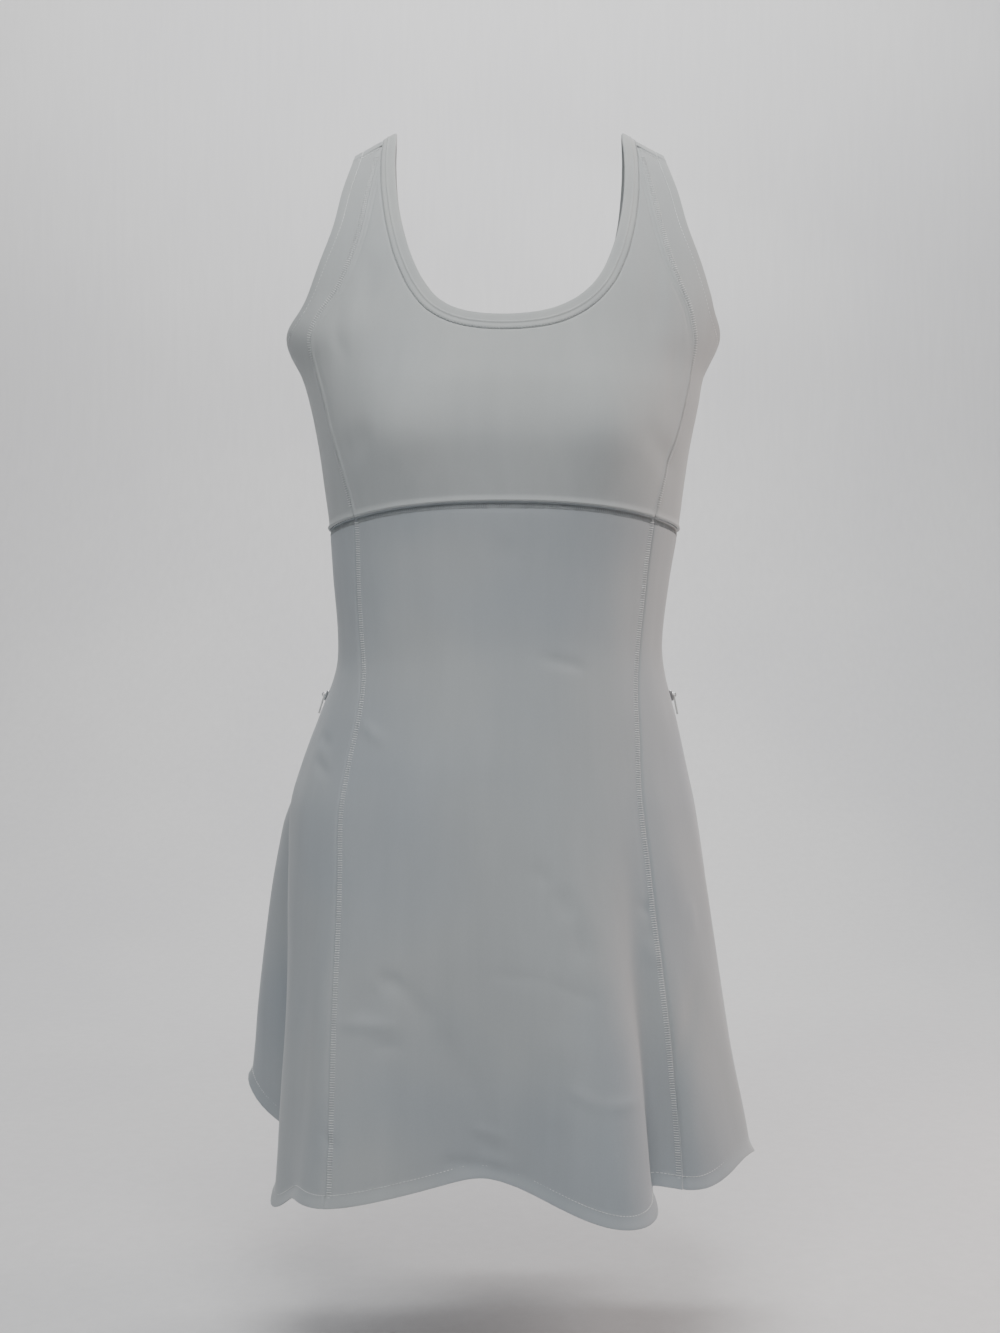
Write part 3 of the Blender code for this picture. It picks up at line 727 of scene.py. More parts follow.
def turned_hem(distance, along):
    """The turned-up hem is double, with a ditch where it is stitched, and its edge flips out a little."""
    band = double_cloth(distance, height=0.00045, low=0.0078, high=0.0086)
    ditch = ridge(distance, height=-0.00030, at=0.0084, width=0.0007)
    flip = ridge(distance, height=0.0024, at=0, width=0.0042)
    return band + ditch + flip + puckers(distance, along, height=0.00012, pitch=0.013, at=0, width=0.010)


def turned_armhole(distance, along):
    band = double_cloth(distance, height=0.00030, low=0.0064, high=0.0072)
    return band + ridge(distance, height=-0.00025, at=0.0070, width=0.0006)


def under_binding(distance, along):
    """The cloth dips where the binding is sewn on, and puckers a little beside it."""
    pucker = puckers(distance, along, height=0.00016, pitch=0.0052, at=0.0022, width=0.0020)
    return ridge(distance, height=-0.00040, at=0, width=0.0008) + pucker


def shoulder_join(distance, along):
    return ridge(distance, height=0.00035, at=0.0010, width=0.0008)


def near_line(points, line):
    """Each point's distance from a line of points, and how far along it the nearest place lies."""
    starts = line[:-1]
    steps = np.diff(line, axis=0)
    lengths = np.linalg.norm(steps, axis=1)
    reached = np.concatenate([[0], np.cumsum(lengths)])
    nearest = np.full(points.shape[:-1], np.inf)
    place = np.zeros(points.shape[:-1])
    for start, step, length, before in zip(starts, steps, lengths, reached):
        if length < 1e-9:
            continue
        offset = points - start
        t = np.clip(offset @ step / length**2, 0, 1)
        distance = np.linalg.norm(offset - t[..., None] * step, axis=-1)
        closer = distance < nearest
        nearest = np.where(closer, distance, nearest)
        place = np.where(closer, before + t * length, place)
    return nearest, place


def graded(length, step=None):
    """Places from -1 to 1 along this length, close together at both ends and evenly spaced between."""
    step = step or WIDE_STEP
    ends = []
    size = FIRST_STEP
    while size < step and sum(ends) < 0.35 * length:
        ends.append(size)
        size *= STEP_GROWTH
    middle = length - 2 * sum(ends)
    count = max(1, round(middle / step))
    places = np.cumsum([0, *ends, *[middle / count] * count, *ends[::-1]])
    return 2 * places / places[-1] - 1


def shown_collection():
    collection = bpy.data.collections.get("shown_dress")
    if not collection:
        collection = bpy.data.collections.new("shown_dress")
        bpy.context.scene.collection.children.link(collection)
    return collection


def add_piece(name, points, faces, material, body="dress", slot=None, node=None, uv=None):
    """A mesh object that rides on its body and, where a node is named, stands for that node."""
    mesh = bpy.data.meshes.new(name)
    mesh.from_pydata(points.reshape(-1, 3).tolist(), [], faces)
    mesh.update()
    mesh.shade_smooth()
    mesh.materials.append(material)
    if uv is not None:
        layer = mesh.uv_layers.new(name="cut")
        corners = np.zeros(len(mesh.loops), np.int32)
        mesh.loops.foreach_get("vertex_index", corners)
        layer.uv.foreach_set("vector", uv[corners].astype(np.float32).ravel())
    obj = bpy.data.objects.new(name, mesh)
    shown_collection().objects.link(obj)
    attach(obj, body)
    if node:
        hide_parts(node)
    return obj


def side_points(points, side, part, columns):
    """One side of a grid of points, or the stretch of it between two columns."""
    line = {"top": points[0], "bottom": points[-1], "left": points[:, 0], "right": points[:, -1]}[side]
    if part is None:
        return line
    low, high = part
    return line[(columns >= low - 1e-6) & (columns <= high + 1e-6)]


def closed_shell(outer, inner):
    """Points and faces of a shell whose two faces share the points of their rim."""
    rows, columns = outer.shape[:2]
    count = rows * columns
    outer_id = np.arange(count).reshape(rows, columns)
    inner_id = outer_id.copy()
    inner_id[1:-1, 1:-1] = count + np.arange((rows - 2) * (columns - 2)).reshape(rows - 2, columns - 2)
    points = np.concatenate([outer.reshape(-1, 3), inner[1:-1, 1:-1].reshape(-1, 3)])
    faces = []
    for grid, turned in ((outer_id, False), (inner_id, True)):
        quads = np.stack([grid[:-1, :-1], grid[1:, :-1], grid[1:, 1:], grid[:-1, 1:]], axis=-1).reshape(-1, 4)
        faces += (quads[:, ::-1] if turned else quads).tolist()
    return points, faces


def facing_out(points, faces):
    """The faces turned round if they enclose a negative volume."""
    corners = points[np.array([face[:3] for face in faces])]
    other = points[np.array([[face[0], face[2], face[3]] for face in faces])]
    volume = sum(dot(c[:, 0], np.cross(c[:, 1], c[:, 2])).sum() for c in (corners, other))
    return faces if volume > 0 else [face[::-1] for face in faces]


def flat_cut(base):
    """Each point's place on the flat cut, in metres: across from the middle column, and down from the top."""
    across = np.linalg.norm(np.diff(base, axis=1), axis=2).cumsum(axis=1)
    across = np.pad(across, ((0, 0), (1, 0)))
    down = np.linalg.norm(np.diff(base, axis=0), axis=2).cumsum(axis=0)
    down = np.pad(down, ((1, 0), (0, 0)))
    middle = base.shape[1] // 2
    return np.stack([across - across[:, middle : middle + 1], down], axis=-1)


def cloth_shell(name, node, slot, material, place, columns, rows, edges):
    """A thin cloth shell on the dress's form. edges says which kind of edge each side of its grid is."""
    across, down = np.meshgrid(columns, rows)
    angle, drop = place(across, down)
    base = skin(angle, drop)
    lift = folds(angle, drop)
    rim = np.full(base.shape[:2], np.inf)
    for profile, side, part in edges:
        distance, along = near_line(base, side_points(base, side, part, columns))
        lift = lift + profile(distance, along)
        rim = np.minimum(rim, distance)
    half = SHELL / 2
    roundness = np.sqrt(np.maximum(0, half**2 - (half - np.minimum(rim, half)) ** 2))
    normal = outward(angle, drop)
    outer = base + normal * (lift - half + roundness)[..., None]
    inner = base + normal * (lift - half - roundness)[..., None]
    points, faces = closed_shell(outer, inner)
    faces = facing_out(points, faces)
    cut = flat_cut(base)
    uv = np.concatenate([cut.reshape(-1, 2), cut[1:-1, 1:-1].reshape(-1, 2)])
    obj = add_piece(name, points, faces, material, slot=slot, node=node, uv=uv)
    width = np.linalg.norm(np.diff(base, axis=1), axis=2).sum(axis=1).max()
    length = np.linalg.norm(np.diff(base, axis=0), axis=2).sum(axis=0).max()
    quads = np.cross(base[1:, 1:] - base[:-1, :-1], base[1:, :-1] - base[:-1, 1:])
    area = np.linalg.norm(quads, axis=-1).sum() / 2
    print(f"{name}: {width:.3f} x {length:.3f} m, {area:.4f} m2, {2 * len(faces)} triangles")
    return obj, (width, length, area)


# Materials


def add_node(tree, kind, links=(), **settings):
    """A node with its settings, whose inputs are linked or given a value by name or number."""
    node = tree.nodes.new(kind)
    for name, value in settings.items():
        setattr(node, name, value)
    for socket, value in dict(links).items():
        if isinstance(value, bpy.types.NodeSocket):
            tree.links.new(value, node.inputs[socket])
        else:
            node.inputs[socket].default_value = value
    return node


def math_node(tree, operation, first, second=0.0):
    return add_node(tree, "ShaderNodeMath", {0: first, 1: second}, operation=operation).outputs[0]


def new_group(name, inputs, outputs):
    """A shader node group with its sockets, and its input and output nodes."""
    group = bpy.data.node_groups.new(name, "ShaderNodeTree")
    for label, kind, value in inputs:
        socket = group.interface.new_socket(name=label, in_out="INPUT", socket_type=kind)
        if value is not None:
            socket.default_value = value
    for label, kind in outputs:
        group.interface.new_socket(name=label, in_out="OUTPUT", socket_type=kind)
    return group, group.nodes.new("NodeGroupInput").outputs, group.nodes.new("NodeGroupOutput").inputs


def make_knit_group():
    """Fine wales down the cloth and courses across it, as a height and a shade, which paints the hollows
    between the yarns a little darker as shade.
    """
    group, given, result = new_group(
        "fine_knit",
        [
            ("Cut", "NodeSocketVector", None),
            ("Wale", "NodeSocketFloat", 0.00062),
            ("Course", "NodeSocketFloat", 0.00048),
        ],
        [("Height", "NodeSocketFloat"), ("Shade", "NodeSocketFloat")],
    )
    place = add_node(group, "ShaderNodeSeparateXYZ", {0: given["Cut"]}).outputs
    waves = []
    for axis, size in (("X", given["Wale"]), ("Y", given["Course"])):
        turns = math_node(group, "DIVIDE", place[axis], size)
        wave = math_node(group, "SINE", math_node(group, "MULTIPLY", turns, math.pi))
        waves.append(math_node(group, "ABSOLUTE", wave))
    yarn = math_node(group, "MULTIPLY", math_node(group, "POWER", waves[0], 0.6), 0.65)
    height = math_node(group, "ADD", yarn, math_node(group, "MULTIPLY", waves[1], 0.35))
    group.links.new(height, result["Height"])
    # Painted shade: the colour darkens a little where the knit's height is low, in the hollows between the
    # yarns.
    shade = math_node(group, "ADD", math_node(group, "MULTIPLY", height, 0.10), 0.93)
    group.links.new(shade, result["Shade"])
    return group


def make_tone_group():
    """A main colour that drifts towards a second one in soft patches, with faint streaks down the cloth."""
    group, given, result = new_group(
        "cloth_tone",
        [
            ("Main", "NodeSocketColor", None),
            ("Second", "NodeSocketColor", None),
            ("Patches", "NodeSocketFloat", 6.0),
            ("Shade", "NodeSocketFloat", 1.0),
        ],
        [("Color", "NodeSocketColor"), ("Rough", "NodeSocketFloat"), ("Drift", "NodeSocketFloat")],
    )
    place = add_node(group, "ShaderNodeTexCoord").outputs["Object"]
    broad = add_node(group, "ShaderNodeTexNoise", {"Vector": place, "Scale": given["Patches"], "Detail": 2.0})
    stretched = add_node(group, "ShaderNodeMapping", {"Vector": place, "Scale": (90.0, 90.0, 7.0)})
    streaks = add_node(
        group,
        "ShaderNodeTexNoise",
        {"Vector": stretched.outputs[0], "Scale": 1.0, "Detail": 3.0},
    )
    fine = add_node(group, "ShaderNodeTexNoise", {"Vector": place, "Scale": 900.0, "Detail": 2.0})
    share = add_node(
        group,
        "ShaderNodeMapRange",
        {"Value": broad.outputs["Fac"], "From Min": 0.38, "From Max": 0.62},
    ).outputs[0]
    mixed = add_node(
        group,
        "ShaderNodeMix",
        {"Factor": share, 6: given["Main"], 7: given["Second"]},
        data_type="RGBA",
    ).outputs[2]
    drift = math_node(group, "MULTIPLY", streaks.outputs["Fac"], 0.10)
    grain = math_node(group, "MULTIPLY", fine.outputs["Fac"], 0.10)
    shade = math_node(group, "ADD", math_node(group, "ADD", drift, grain), 0.90)
    shade = math_node(group, "MULTIPLY", shade, given["Shade"])
    shaded = add_node(group, "ShaderNodeVectorMath", {0: mixed, 1: shade}, operation="MULTIPLY").outputs[0]
    group.links.new(shaded, result["Color"])
    rough = math_node(group, "ADD", math_node(group, "MULTIPLY", fine.outputs["Fac"], 0.16), 0.66)
    group.links.new(rough, result["Rough"])
    group.links.new(fine.outputs["Fac"], result["Drift"])
    return group


knit_group = make_knit_group()
tone_group = make_tone_group()


def new_material(name, metallic=0.0, sheen=0.0, coat=0.0):
    """A material with its node tree, its shader and a fine bump that feeds the shader."""
    material = bpy.data.materials.new(name)
    material.use_nodes = True
    tree = material.node_tree
    shader = tree.nodes["Principled BSDF"]
    shader.inputs["Metallic"].default_value = metallic
    shader.inputs["Sheen Weight"].default_value = sheen
    shader.inputs["Sheen Roughness"].default_value = 0.45
    shader.inputs["Coat Weight"].default_value = coat
    shader.inputs["Coat Roughness"].default_value = 0.35
    bump = add_node(tree, "ShaderNodeBump", {"Strength": 0.5, "Distance": 0.0001})
    tree.links.new(bump.outputs[0], shader.inputs["Normal"])
    return material, tree, shader, bump


def cloth_material(name, main, second, wale=0.00062, course=0.00048, depth=0.00006, patches=6.0, sheen=0.22):
    """Knitted or woven cloth: the yarns from the cut's coordinates, and the tone from its place."""
    material, tree, shader, bump = new_material(name, sheen=sheen)
    cut = add_node(tree, "ShaderNodeUVMap", uv_map="cut").outputs[0]
    knit = add_node(tree, "ShaderNodeGroup", node_tree=knit_group)
    tree.links.new(cut, knit.inputs["Cut"])
    knit.inputs["Wale"].default_value = wale
    knit.inputs["Course"].default_value = course
    tone = add_node(tree, "ShaderNodeGroup", node_tree=tone_group)
    tone.inputs["Main"].default_value = (*main, 1)
    tone.inputs["Second"].default_value = (*second, 1)
    tone.inputs["Patches"].default_value = patches
    tree.links.new(knit.outputs["Shade"], tone.inputs["Shade"])
    tree.links.new(tone.outputs["Color"], shader.inputs["Base Color"])
    tree.links.new(tone.outputs["Rough"], shader.inputs["Roughness"])
    tree.links.new(knit.outputs["Height"], bump.inputs["Height"])
    bump.inputs["Distance"].default_value = depth
    return material


def plain_material(name, main, second, patches, rough_low, rough_high, depth, **finish):
    """Thread, metal, rubber or paint: a drifting tone, with a fine grain in its roughness and bump."""
    material, tree, shader, bump = new_material(name, **finish)
    tone = add_node(tree, "ShaderNodeGroup", node_tree=tone_group)
    tone.inputs["Main"].default_value = (*main, 1)
    tone.inputs["Second"].default_value = (*second, 1)
    tone.inputs["Patches"].default_value = patches
    rough = add_node(
        tree,
        "ShaderNodeMapRange",
        {"Value": tone.outputs["Drift"], "To Min": rough_low, "To Max": rough_high},
    )
    tree.links.new(tone.outputs["Color"], shader.inputs["Base Color"])
    tree.links.new(rough.outputs[0], shader.inputs["Roughness"])
    tree.links.new(tone.outputs["Drift"], bump.inputs["Height"])
    bump.inputs["Distance"].default_value = depth
    return material


jersey = cloth_material("bodice_jersey", (0.415, 0.437, 0.440), (0.395, 0.420, 0.432))
# The skirt's jersey is the bodice's cloth painted darker and bluer as the shade down the skirt, with darker
# bluish patches painted as soft shade.
shaded_skirt_jersey = cloth_material("shaded_skirt_jersey", (0.378, 0.403, 0.418), (0.335, 0.368, 0.400))
binding_jersey = cloth_material("binding_jersey", (0.430, 0.450, 0.448), (0.405, 0.428, 0.435), patches=20.0)
tape_cloth = cloth_material(
    "zip_tape",
    (0.33, 0.35, 0.36),
    (0.28, 0.30, 0.32),
    wale=0.0009,
    course=0.0006,
    depth=0.00012,
    patches=60.0,
    sheen=0.1,
)

# Main colour, second colour, patches, lowest and highest roughness, and the depth of the grain
SEAM_THREAD = ((0.80, 0.82, 0.82), (0.66, 0.68, 0.69), 120, 0.5, 0.8, 0.00003)
# The thread of the cover stitches under the bust, also used for the neck's row, is pale like the seam thread
# but painted dark grey as shade.
COVER_THREAD_IN_SHADE = ((0.34, 0.36, 0.37), (0.28, 0.30, 0.31), 120, 0.5, 0.8, 0.00003)
ZIP_COIL = ((0.50, 0.52, 0.53), (0.42, 0.44, 0.45), 300, 0.3, 0.5, 0.00002)
SLIDER_METAL = ((0.66, 0.67, 0.68), (0.54, 0.55, 0.56), 400, 0.24, 0.5, 0.00004)
PULL_RUBBER = ((0.62, 0.63, 0.62), (0.54, 0.55, 0.55), 300, 0.45, 0.7, 0.00004)
PALE_FLOOR = ((0.74, 0.74, 0.74), (0.70, 0.70, 0.71), 1.5, 0.7, 0.9, 0.0001)

pale_thread = plain_material("seam_thread", *SEAM_THREAD, sheen=0.3)
# Painted shade: pale thread made dark grey as if it lay in the shade under the underbust ridge.
thread_in_shade = plain_material("cover_thread_in_shade", *COVER_THREAD_IN_SHADE, sheen=0.2)
coil_nylon = plain_material("zip_coil", *ZIP_COIL, coat=0.2)
slider_metal = plain_material("slider_metal", *SLIDER_METAL, metallic=1.0)
pull_rubber = plain_material("pull_rubber", *PULL_RUBBER, coat=0.1)


# The cloth pieces

# The width and length by which each shell's grid is graded
BUST_GRID = (0.62, 0.12)
BACK_GRID = (0.66, 0.13)
ARM_GRID = (0.035, 0.30)
SKIRT_CENTRE_GRID = (0.23, 0.47)
SKIRT_SIDE_GRID = (0.09, 0.47)
TAPE_COLUMNS = 21
TAPE_LENGTH = 0.136


def grid(size):
    return graded(size[0]), graded(size[1])


def both_stretches(profile, low, high):
    """An edge on the two stretches of a panel's lower side that lie between these columns."""
    return [(profile, "bottom", (-high, -low)), (profile, "bottom", (low, high))]


def make_bodice():
    corner = BUST_CORNER_COLUMN / BUST_COLUMNS
    armpit = BACK_ARMPIT_COLUMN / BUST_COLUMNS
    back_corner = BACK_CORNER_COLUMN / BUST_COLUMNS
    neck_edge = [(under_binding, "top", None)]
    shoulders = [(shoulder_join, "left", None), (shoulder_join, "right", None)]
    bust_edges = neck_edge + [(above_underbust, "bottom", (-corner, corner))]
    bust_edges += both_stretches(centre_of_princess, corner, 1) + shoulders
    back_edges = neck_edge + [(above_underbust, "bottom", (-back_corner, back_corner))]
    back_edges += both_stretches(back_of_side_seam, back_corner, armpit)
    back_edges += both_stretches(turned_armhole, armpit, 1) + shoulders
    arm_edges = [
        (side_of_princess, "left", None),
        (turned_armhole, "right", None),
        (above_underbust, "bottom", None),
        (shoulder_join, "top", None),
    ]
    finish = ("bodice", jersey)
    made = [
        cloth_shell("bust_cloth", "front_bust", *finish, front_bust, *grid(BUST_GRID), bust_edges),
        cloth_shell("back_cloth", "back_bodice", *finish, back_bodice, *grid(BACK_GRID), back_edges),
    ]
    for side, sign in (("left", 1), ("right", -1)):
        names = (f"arm_cloth_{side}", f"arm_panel_{side}")
        made.append(cloth_shell(*names, *finish, arm_panel(sign), *grid(ARM_GRID), arm_edges))
    return made


def make_skirt():
    made = []
    # The skirt's cloth: the same jersey as the bodice, painted darker as shade.
    finish = ("skirt", shaded_skirt_jersey)
    waist_and_hem = [(below_underbust, "top", None), (turned_hem, "bottom", None)]
    for half, facing in (("front", 1), ("back", -1)):
        edges = [(centre_of_princess, "left", None), (centre_of_princess, "right", None)] + waist_and_hem
        names = (f"skirt_{half}_cloth", f"skirt_{half}_centre")
        made.append(cloth_shell(*names, *finish, skirt_centre(facing), *grid(SKIRT_CENTRE_GRID), edges))
        seam = front_of_side_seam if facing == 1 else back_of_side_seam
        edges = [(side_of_princess, "left", None), (seam, "right", None)] + waist_and_hem
        for side, sign in (("left", 1), ("right", -1)):
            names = (f"skirt_{half}_side_cloth_{side}", f"skirt_{half}_side_{side}")
            place = skirt_side(facing, sign)
            made.append(cloth_shell(*names, *finish, place, *grid(SKIRT_SIDE_GRID), edges))
    return made


def binding_profile(distance):
    """The bound edge across its width: a flat fold, a ridge past its middle, then a lower stitched band."""
    ridge = 0.00055 * bell(distance - 0.0068, 0.00055)
    band = 0.00020 * ease(distance, 0.0004, 0.0025) - 0.00015 * ease(distance, 0.0072, 0.0080)
    ditch = -0.00035 * bell(distance - 0.0112, 0.0005)
    return ridge + band + ditch


def make_binding():
    along, across = np.meshgrid(graded(4 * NECK_QUARTER, WIDE_STEP), graded(BINDING_WIDTH, 0.0005))
    at = along * (2 - SHOWN_GAP / 2 / NECK_QUARTER)
    distance = BINDING_WIDTH * (across + 1) / 2
    spot = beside(neck, at, distance)
    base = skin(*spot)
    normal = outward(*spot)
    rim = np.minimum(distance, BINDING_WIDTH - distance)
    half = BINDING_WALL / 2
    roundness = np.sqrt(np.maximum(0, half**2 - (half - np.minimum(rim, half)) ** 2))
    lift = folds(*spot) + BINDING_PROUD + binding_profile(distance)
    outer = base + normal * (lift - half + roundness)[..., None]
    inner = base + normal * (folds(*spot) - half - roundness)[..., None]
    points, faces = closed_shell(outer, inner)
    faces = facing_out(points, faces)
    cut = np.stack([along * 2 * NECK_QUARTER, distance], axis=-1)
    uv = np.concatenate([cut.reshape(-1, 2), cut[1:-1, 1:-1].reshape(-1, 2)])
    slot_and_node = {"slot": "binding", "node": "neck_binding"}
    return add_piece("neck_binding_cloth", points, faces, binding_jersey, uv=uv, **slot_and_node)


# Stitches and zips

# Four places along each kind of stitch: how many pitches along the seam, and how far from it
BAR = ((0.0, 0.0007), (0.0, 0.0016), (0.0, 0.0032), (0.0, 0.0042))
COVER_DOWN = ((0.0, 0.0012), (0.2, 0.0024), (0.5, 0.0038), (0.7, 0.0050))
COVER_UP = ((0.7, 0.0012), (0.5, 0.0024), (0.2, 0.0038), (0.0, 0.0050))
DIPS = np.array([-0.6, 0.9, 0.9, -0.6])


def running(distance):
    return ((0.05, distance), (0.25, distance), (0.65, distance), (0.85, distance))


def stitches(curve, low, high, pitch, corners, profile, turned=1, radius=THREAD_RADIUS):
    """The middle lines of a row of stitches along a curve, and the cloth's outward directions there."""
    fine = np.linspace(low, high, 500)
    line = skin(*curve(fine))
    reached = np.concatenate([[0], np.cumsum(np.linalg.norm(np.diff(line, axis=0), axis=1))])
    count = max(1, int(reached[-1] / pitch))
    starts = (np.arange(count) * reached[-1] / count)[:, None]
    along = starts + pitch * np.array([share for share, _ in corners])
    distance = np.broadcast_to([away for _, away in corners], along.shape)
    spot = beside(curve, np.interp(along, reached, fine), turned * distance)
    lift = profile(np.abs(distance), along) + radius * DIPS
    return on_cloth(*spot, lift), outward(*spot)


def tubes(name, rows, radius, material, slot):
    """Closed tubes along many short lines, joined in one piece."""
    points = np.concatenate([line for line, _ in rows])
    normals = np.concatenate([normal for _, normal in rows])
    ahead = unit(np.gradient(points, axis=1))
    aside = unit(np.cross(ahead, normals))
    upward = np.cross(aside, ahead)
    turn = np.arange(TUBE_SIDES) * 2 * math.pi / TUBE_SIDES
    ring = aside[:, :, None] * np.cos(turn)[:, None] + upward[:, :, None] * np.sin(turn)[:, None]
    body = points[:, :, None] + ring * radius
    count, steps = points.shape[:2]
    ids = np.arange(count * steps * TUBE_SIDES).reshape(count, steps, TUBE_SIDES)
    after = np.roll(ids, -1, axis=2)
    quads = np.stack([ids[:, :-1], after[:, :-1], after[:, 1:], ids[:, 1:]], axis=-1).reshape(-1, 4)
    faces = quads.tolist() + ids[:, 0, ::-1].tolist() + ids[:, -1].tolist()
    print(f"{name}: {count} stitches, {len(quads) * 2 + count * 6} triangles")
    return add_piece(name, body, faces, material, slot=slot)


def skirt_seam(facing, sign):
    def curve(at):
        return skirt_spot(sign * princess(nominal_drop(at)), at, facing)

    return curve


def bodice_seam(sign):
    def curve(at):
        angle = princess(at)
        return angle * sign, level_with_seam(angle, at)

    return curve


def waist_seam(facing):
    return lambda at: (at, facing * underbust(at))


def hem_edge(facing):
    return lambda at: skirt_spot(at, np.ones_like(at), facing)


def armhole_edge(sign):
    def curve(at):
        angle = armhole(at)
        return angle * sign, np.where(at > SHOULDER_SEAM, level_with_seam(angle, at), at)

    return curve


def side_line(sign):
    return lambda at: (np.full_like(at, sign * SIDE_SEAM), at)


def on_binding(distance, along):
    return BINDING_PROUD + binding_profile(distance)


def shoulder_line(sign):
    return lambda at: (at * sign, np.full_like(at, SHOULDER_SEAM))


def make_stitches():
    ladders = []
    covers = []
    hems = []
    bodice_ladders = []
    bodice_rows = []
    for facing in (1, -1):
        for sign in (1, -1):
            seam = skirt_seam(facing, sign)
            turned = facing * sign
            ladders.append(stitches(seam, -0.985, 0.998, LADDER_PITCH, BAR, centre_of_princess, turned))
        for corners in (COVER_DOWN, COVER_UP):
            seam = waist_seam(facing)
            covers.append(stitches(seam, -1.5, 1.5, COVER_PITCH, corners, below_underbust, facing))
        row = running(0.0084)
        hems.append(stitches(hem_edge(facing), -1.55, 1.55, ROW_PITCH, row, turned_hem, -facing))
    for sign in (1, -1):
        seam = bodice_seam(sign)
        bodice_ladders.append(stitches(seam, 0.020, 0.286, LADDER_PITCH, BAR, side_of_princess, -sign))
        row = running(0.0070)
        bodice_rows.append(stitches(armhole_edge(sign), -0.148, 0.148, ROW_PITCH, row, turned_armhole, sign))
        shoulder = shoulder_line(sign)
        ends = (angle_at(0.0985, SHOULDER_SEAM), angle_at(0.1150, SHOULDER_SEAM))
        bodice_rows.append(stitches(shoulder, *ends, ROW_PITCH, running(0.0032), shoulder_join, sign))
    neck_row = [stitches(neck, -1.99, 1.99, ROW_PITCH * 0.8, running(0.0112), on_binding)]
    tubes("skirt_ladder_stitches", ladders, THREAD_RADIUS, pale_thread, "skirt")
    # The cover stitches and the neck's row use the pale thread painted dark grey as shade.
    tubes("underbust_cover_stitches", covers, THREAD_RADIUS, thread_in_shade, "skirt")
    tubes("hem_stitches", hems, THREAD_RADIUS, pale_thread, "skirt")
    tubes("bodice_ladder_stitches", bodice_ladders, THREAD_RADIUS, pale_thread, "bodice")
    tubes("edge_stitches", bodice_rows, THREAD_RADIUS, pale_thread, "bodice")
    tubes("neck_stitches", neck_row, THREAD_RADIUS, thread_in_shade, "binding")


def zip_tape(sign):
    def place(across, down):
        drop = ZIP_TOP + ZIP_STEP + (ZIP_END - ZIP_TOP - 2 * ZIP_STEP) * (down + 1) / 2
        level = np.where(across > 0, -drop, drop)
        seam = (np.full_like(drop, sign * SIDE_SEAM), level)
        return inset(seam, (np.zeros_like(drop), level), np.abs(across) * TAPE_HALF_WIDTH)

    return place


def on_tape(distance, along):
    return np.full_like(distance, -TAPE_SET_IN + TOOTH_RADIUS)


def sunk_tape(distance, along):
    return np.full_like(distance, -TAPE_SET_IN)


def make_zips():
    made = []
    teeth = []
    tacks = []
    low = ((0.0, -0.0015), (0.0, -0.0009), (0.0, -0.0003), (0.0, 0.0003))
    high = ((0.5, 0.0015), (0.5, 0.0009), (0.5, 0.0003), (0.5, -0.0003))
    for side, sign in (("left", 1), ("right", -1)):
        made.append(
            cloth_shell(
                f"zip_tape_cloth_{side}",
                f"zip_tape_{side}",
                "zip_tape",
                tape_cloth,
                zip_tape(sign),
                np.linspace(-1, 1, TAPE_COLUMNS),
                graded(TAPE_LENGTH),
                [(sunk_tape, "top", None)],
            )
        )
        line = side_line(sign)
        for corners in (low, high):
            top, end = ZIP_TOP + 0.010, ZIP_END - 0.006
            teeth.append(stitches(line, top, end, TOOTH_PITCH, corners, on_tape, radius=TOOTH_RADIUS))
        for drop in (ZIP_TOP + 0.0005, ZIP_END + 0.0005):
            bar = tuple((0.0, away) for away in (-0.0034, -0.0012, 0.0012, 0.0034))
            tacks.append(stitches(line, drop, drop + 0.0030, 0.0005, bar, front_of_side_seam))
    tubes("zip_teeth", teeth, TOOTH_RADIUS, coil_nylon, "zip_tape")
    tubes("zip_bartacks", tacks, THREAD_RADIUS, pale_thread, "skirt")
    for name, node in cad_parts.items():
        if name.startswith(("slider", "pull")):
            node.data.materials.clear()
            node.data.materials.append(slider_metal if name.startswith("slider") else pull_rubber)
    return made


# Floor, light and camera

PHOTO_HEIGHT = 1333
CAMERA_FOCAL = 1500
SENSOR = 36.0
CAMERA_PLACE = (-0.0031, -1.15, -0.396)
FLOOR_DROP = 0.12
SWEEP_START = 1.2
SWEEP_RADIUS = 1.2
SWEEP_STEPS = 12
LIGHTS = (
    # name, place, aimed at, size, power, colour
    ("top_light", (0.02, -0.85, 0.75), (0, -0.05, -0.20), (0.9, 0.6), 19, (1.0, 0.99, 0.97)),
    ("left_fill", (-1.6, -1.2, -0.1), (0, 0, -0.4), (1.0, 1.4), 3.0, (0.86, 0.95, 1.0)),
    ("back_light", (0.5, 1.9, 1.3), (0, 0.1, -0.3), (0.8, 0.8), 7, (0.95, 0.98, 1.0)),
    ("warm_rim", (1.2, 0.20, -0.1), (0, 0, -0.35), (0.4, 1.2), 9, (1.0, 0.80, 0.72)),
    ("backdrop_light", (0, 1.1, 1.7), (0, 2.5, -0.4), (3.0, 0.8), 60, (1.0, 1.0, 1.0)),
)
WORLD_COLOUR = (0.80, 0.82, 0.85, 1)
WORLD_STRENGTH = 0.15


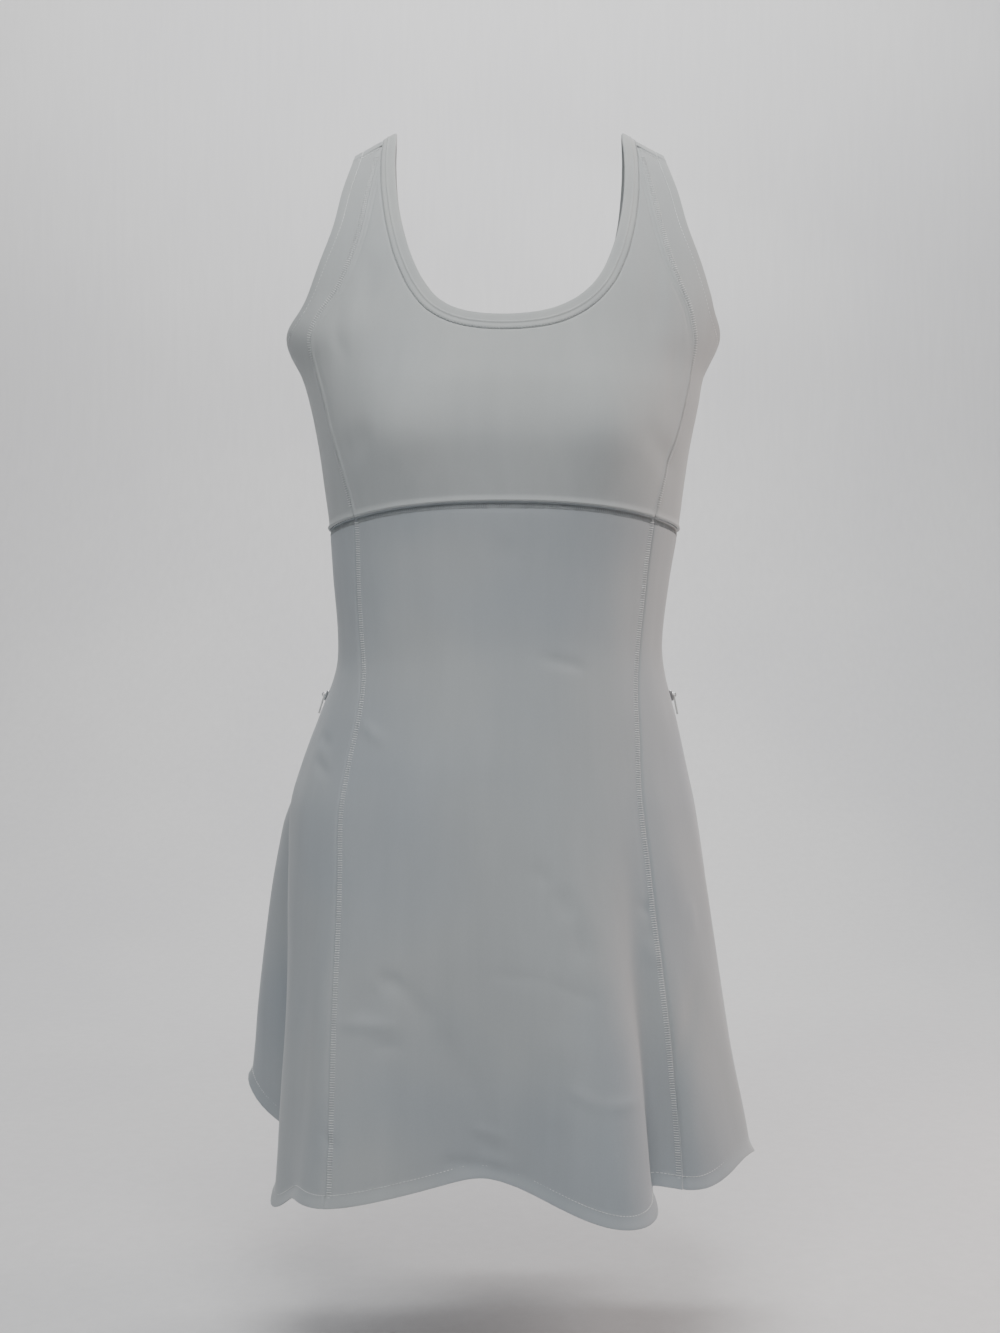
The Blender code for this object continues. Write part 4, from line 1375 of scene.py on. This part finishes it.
def make_floor():
    """A pale floor that sweeps up into a plain backdrop behind the dress."""
    floor_z = cad_box[0][2] - FLOOR_DROP
    profile = [(-4.0, floor_z), (SWEEP_START, floor_z)]
    for step in range(1, SWEEP_STEPS + 1):
        turn = math.radians(90 * step / SWEEP_STEPS)
        out = SWEEP_START + SWEEP_RADIUS * math.sin(turn)
        profile.append((out, floor_z + SWEEP_RADIUS * (1 - math.cos(turn))))
    profile.append((SWEEP_START + SWEEP_RADIUS, 4.0))
    points = [(x, y, z) for y, z in profile for x in (-5.0, 5.0)]
    faces = [(2 * i, 2 * i + 1, 2 * i + 3, 2 * i + 2) for i in range(len(profile) - 1)]
    mesh = bpy.data.meshes.new("floor")
    mesh.from_pydata(points, [], faces)
    mesh.shade_smooth()
    mesh.materials.append(plain_material("pale_floor", *PALE_FLOOR))
    obj = bpy.data.objects.new("floor", mesh)
    bpy.context.scene.collection.objects.link(obj)


def area_light(name, place, target, size, power, colour):
    light = bpy.data.lights.new(name, "AREA")
    light.shape = "RECTANGLE"
    light.size, light.size_y = size
    light.energy = power
    light.color = colour
    obj = bpy.data.objects.new(name, light)
    obj.location = place
    obj.rotation_euler = (Vector(target) - Vector(place)).to_track_quat("-Z", "Y").to_euler()
    bpy.context.scene.collection.objects.link(obj)


def make_lights():
    for light in LIGHTS:
        area_light(*light)
    world = bpy.data.worlds.new("studio")
    world.use_nodes = True
    world.node_tree.nodes["Background"].inputs["Color"].default_value = WORLD_COLOUR
    world.node_tree.nodes["Background"].inputs["Strength"].default_value = WORLD_STRENGTH
    bpy.context.scene.world = world


def make_camera():
    camera = bpy.data.cameras.new("camera")
    camera.sensor_width = SENSOR
    camera.lens = CAMERA_FOCAL / PHOTO_HEIGHT * SENSOR
    camera.clip_start = 0.05
    obj = bpy.data.objects.new("camera", camera)
    obj.location = CAMERA_PLACE
    obj.rotation_euler = (math.radians(90), 0, 0)
    bpy.context.scene.collection.objects.link(obj)
    bpy.context.scene.camera = obj


make_camera()
make_lights()
make_floor()
binding = make_binding()
for made, (width, length, area) in make_bodice() + make_skirt():
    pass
make_zips()
make_stitches()
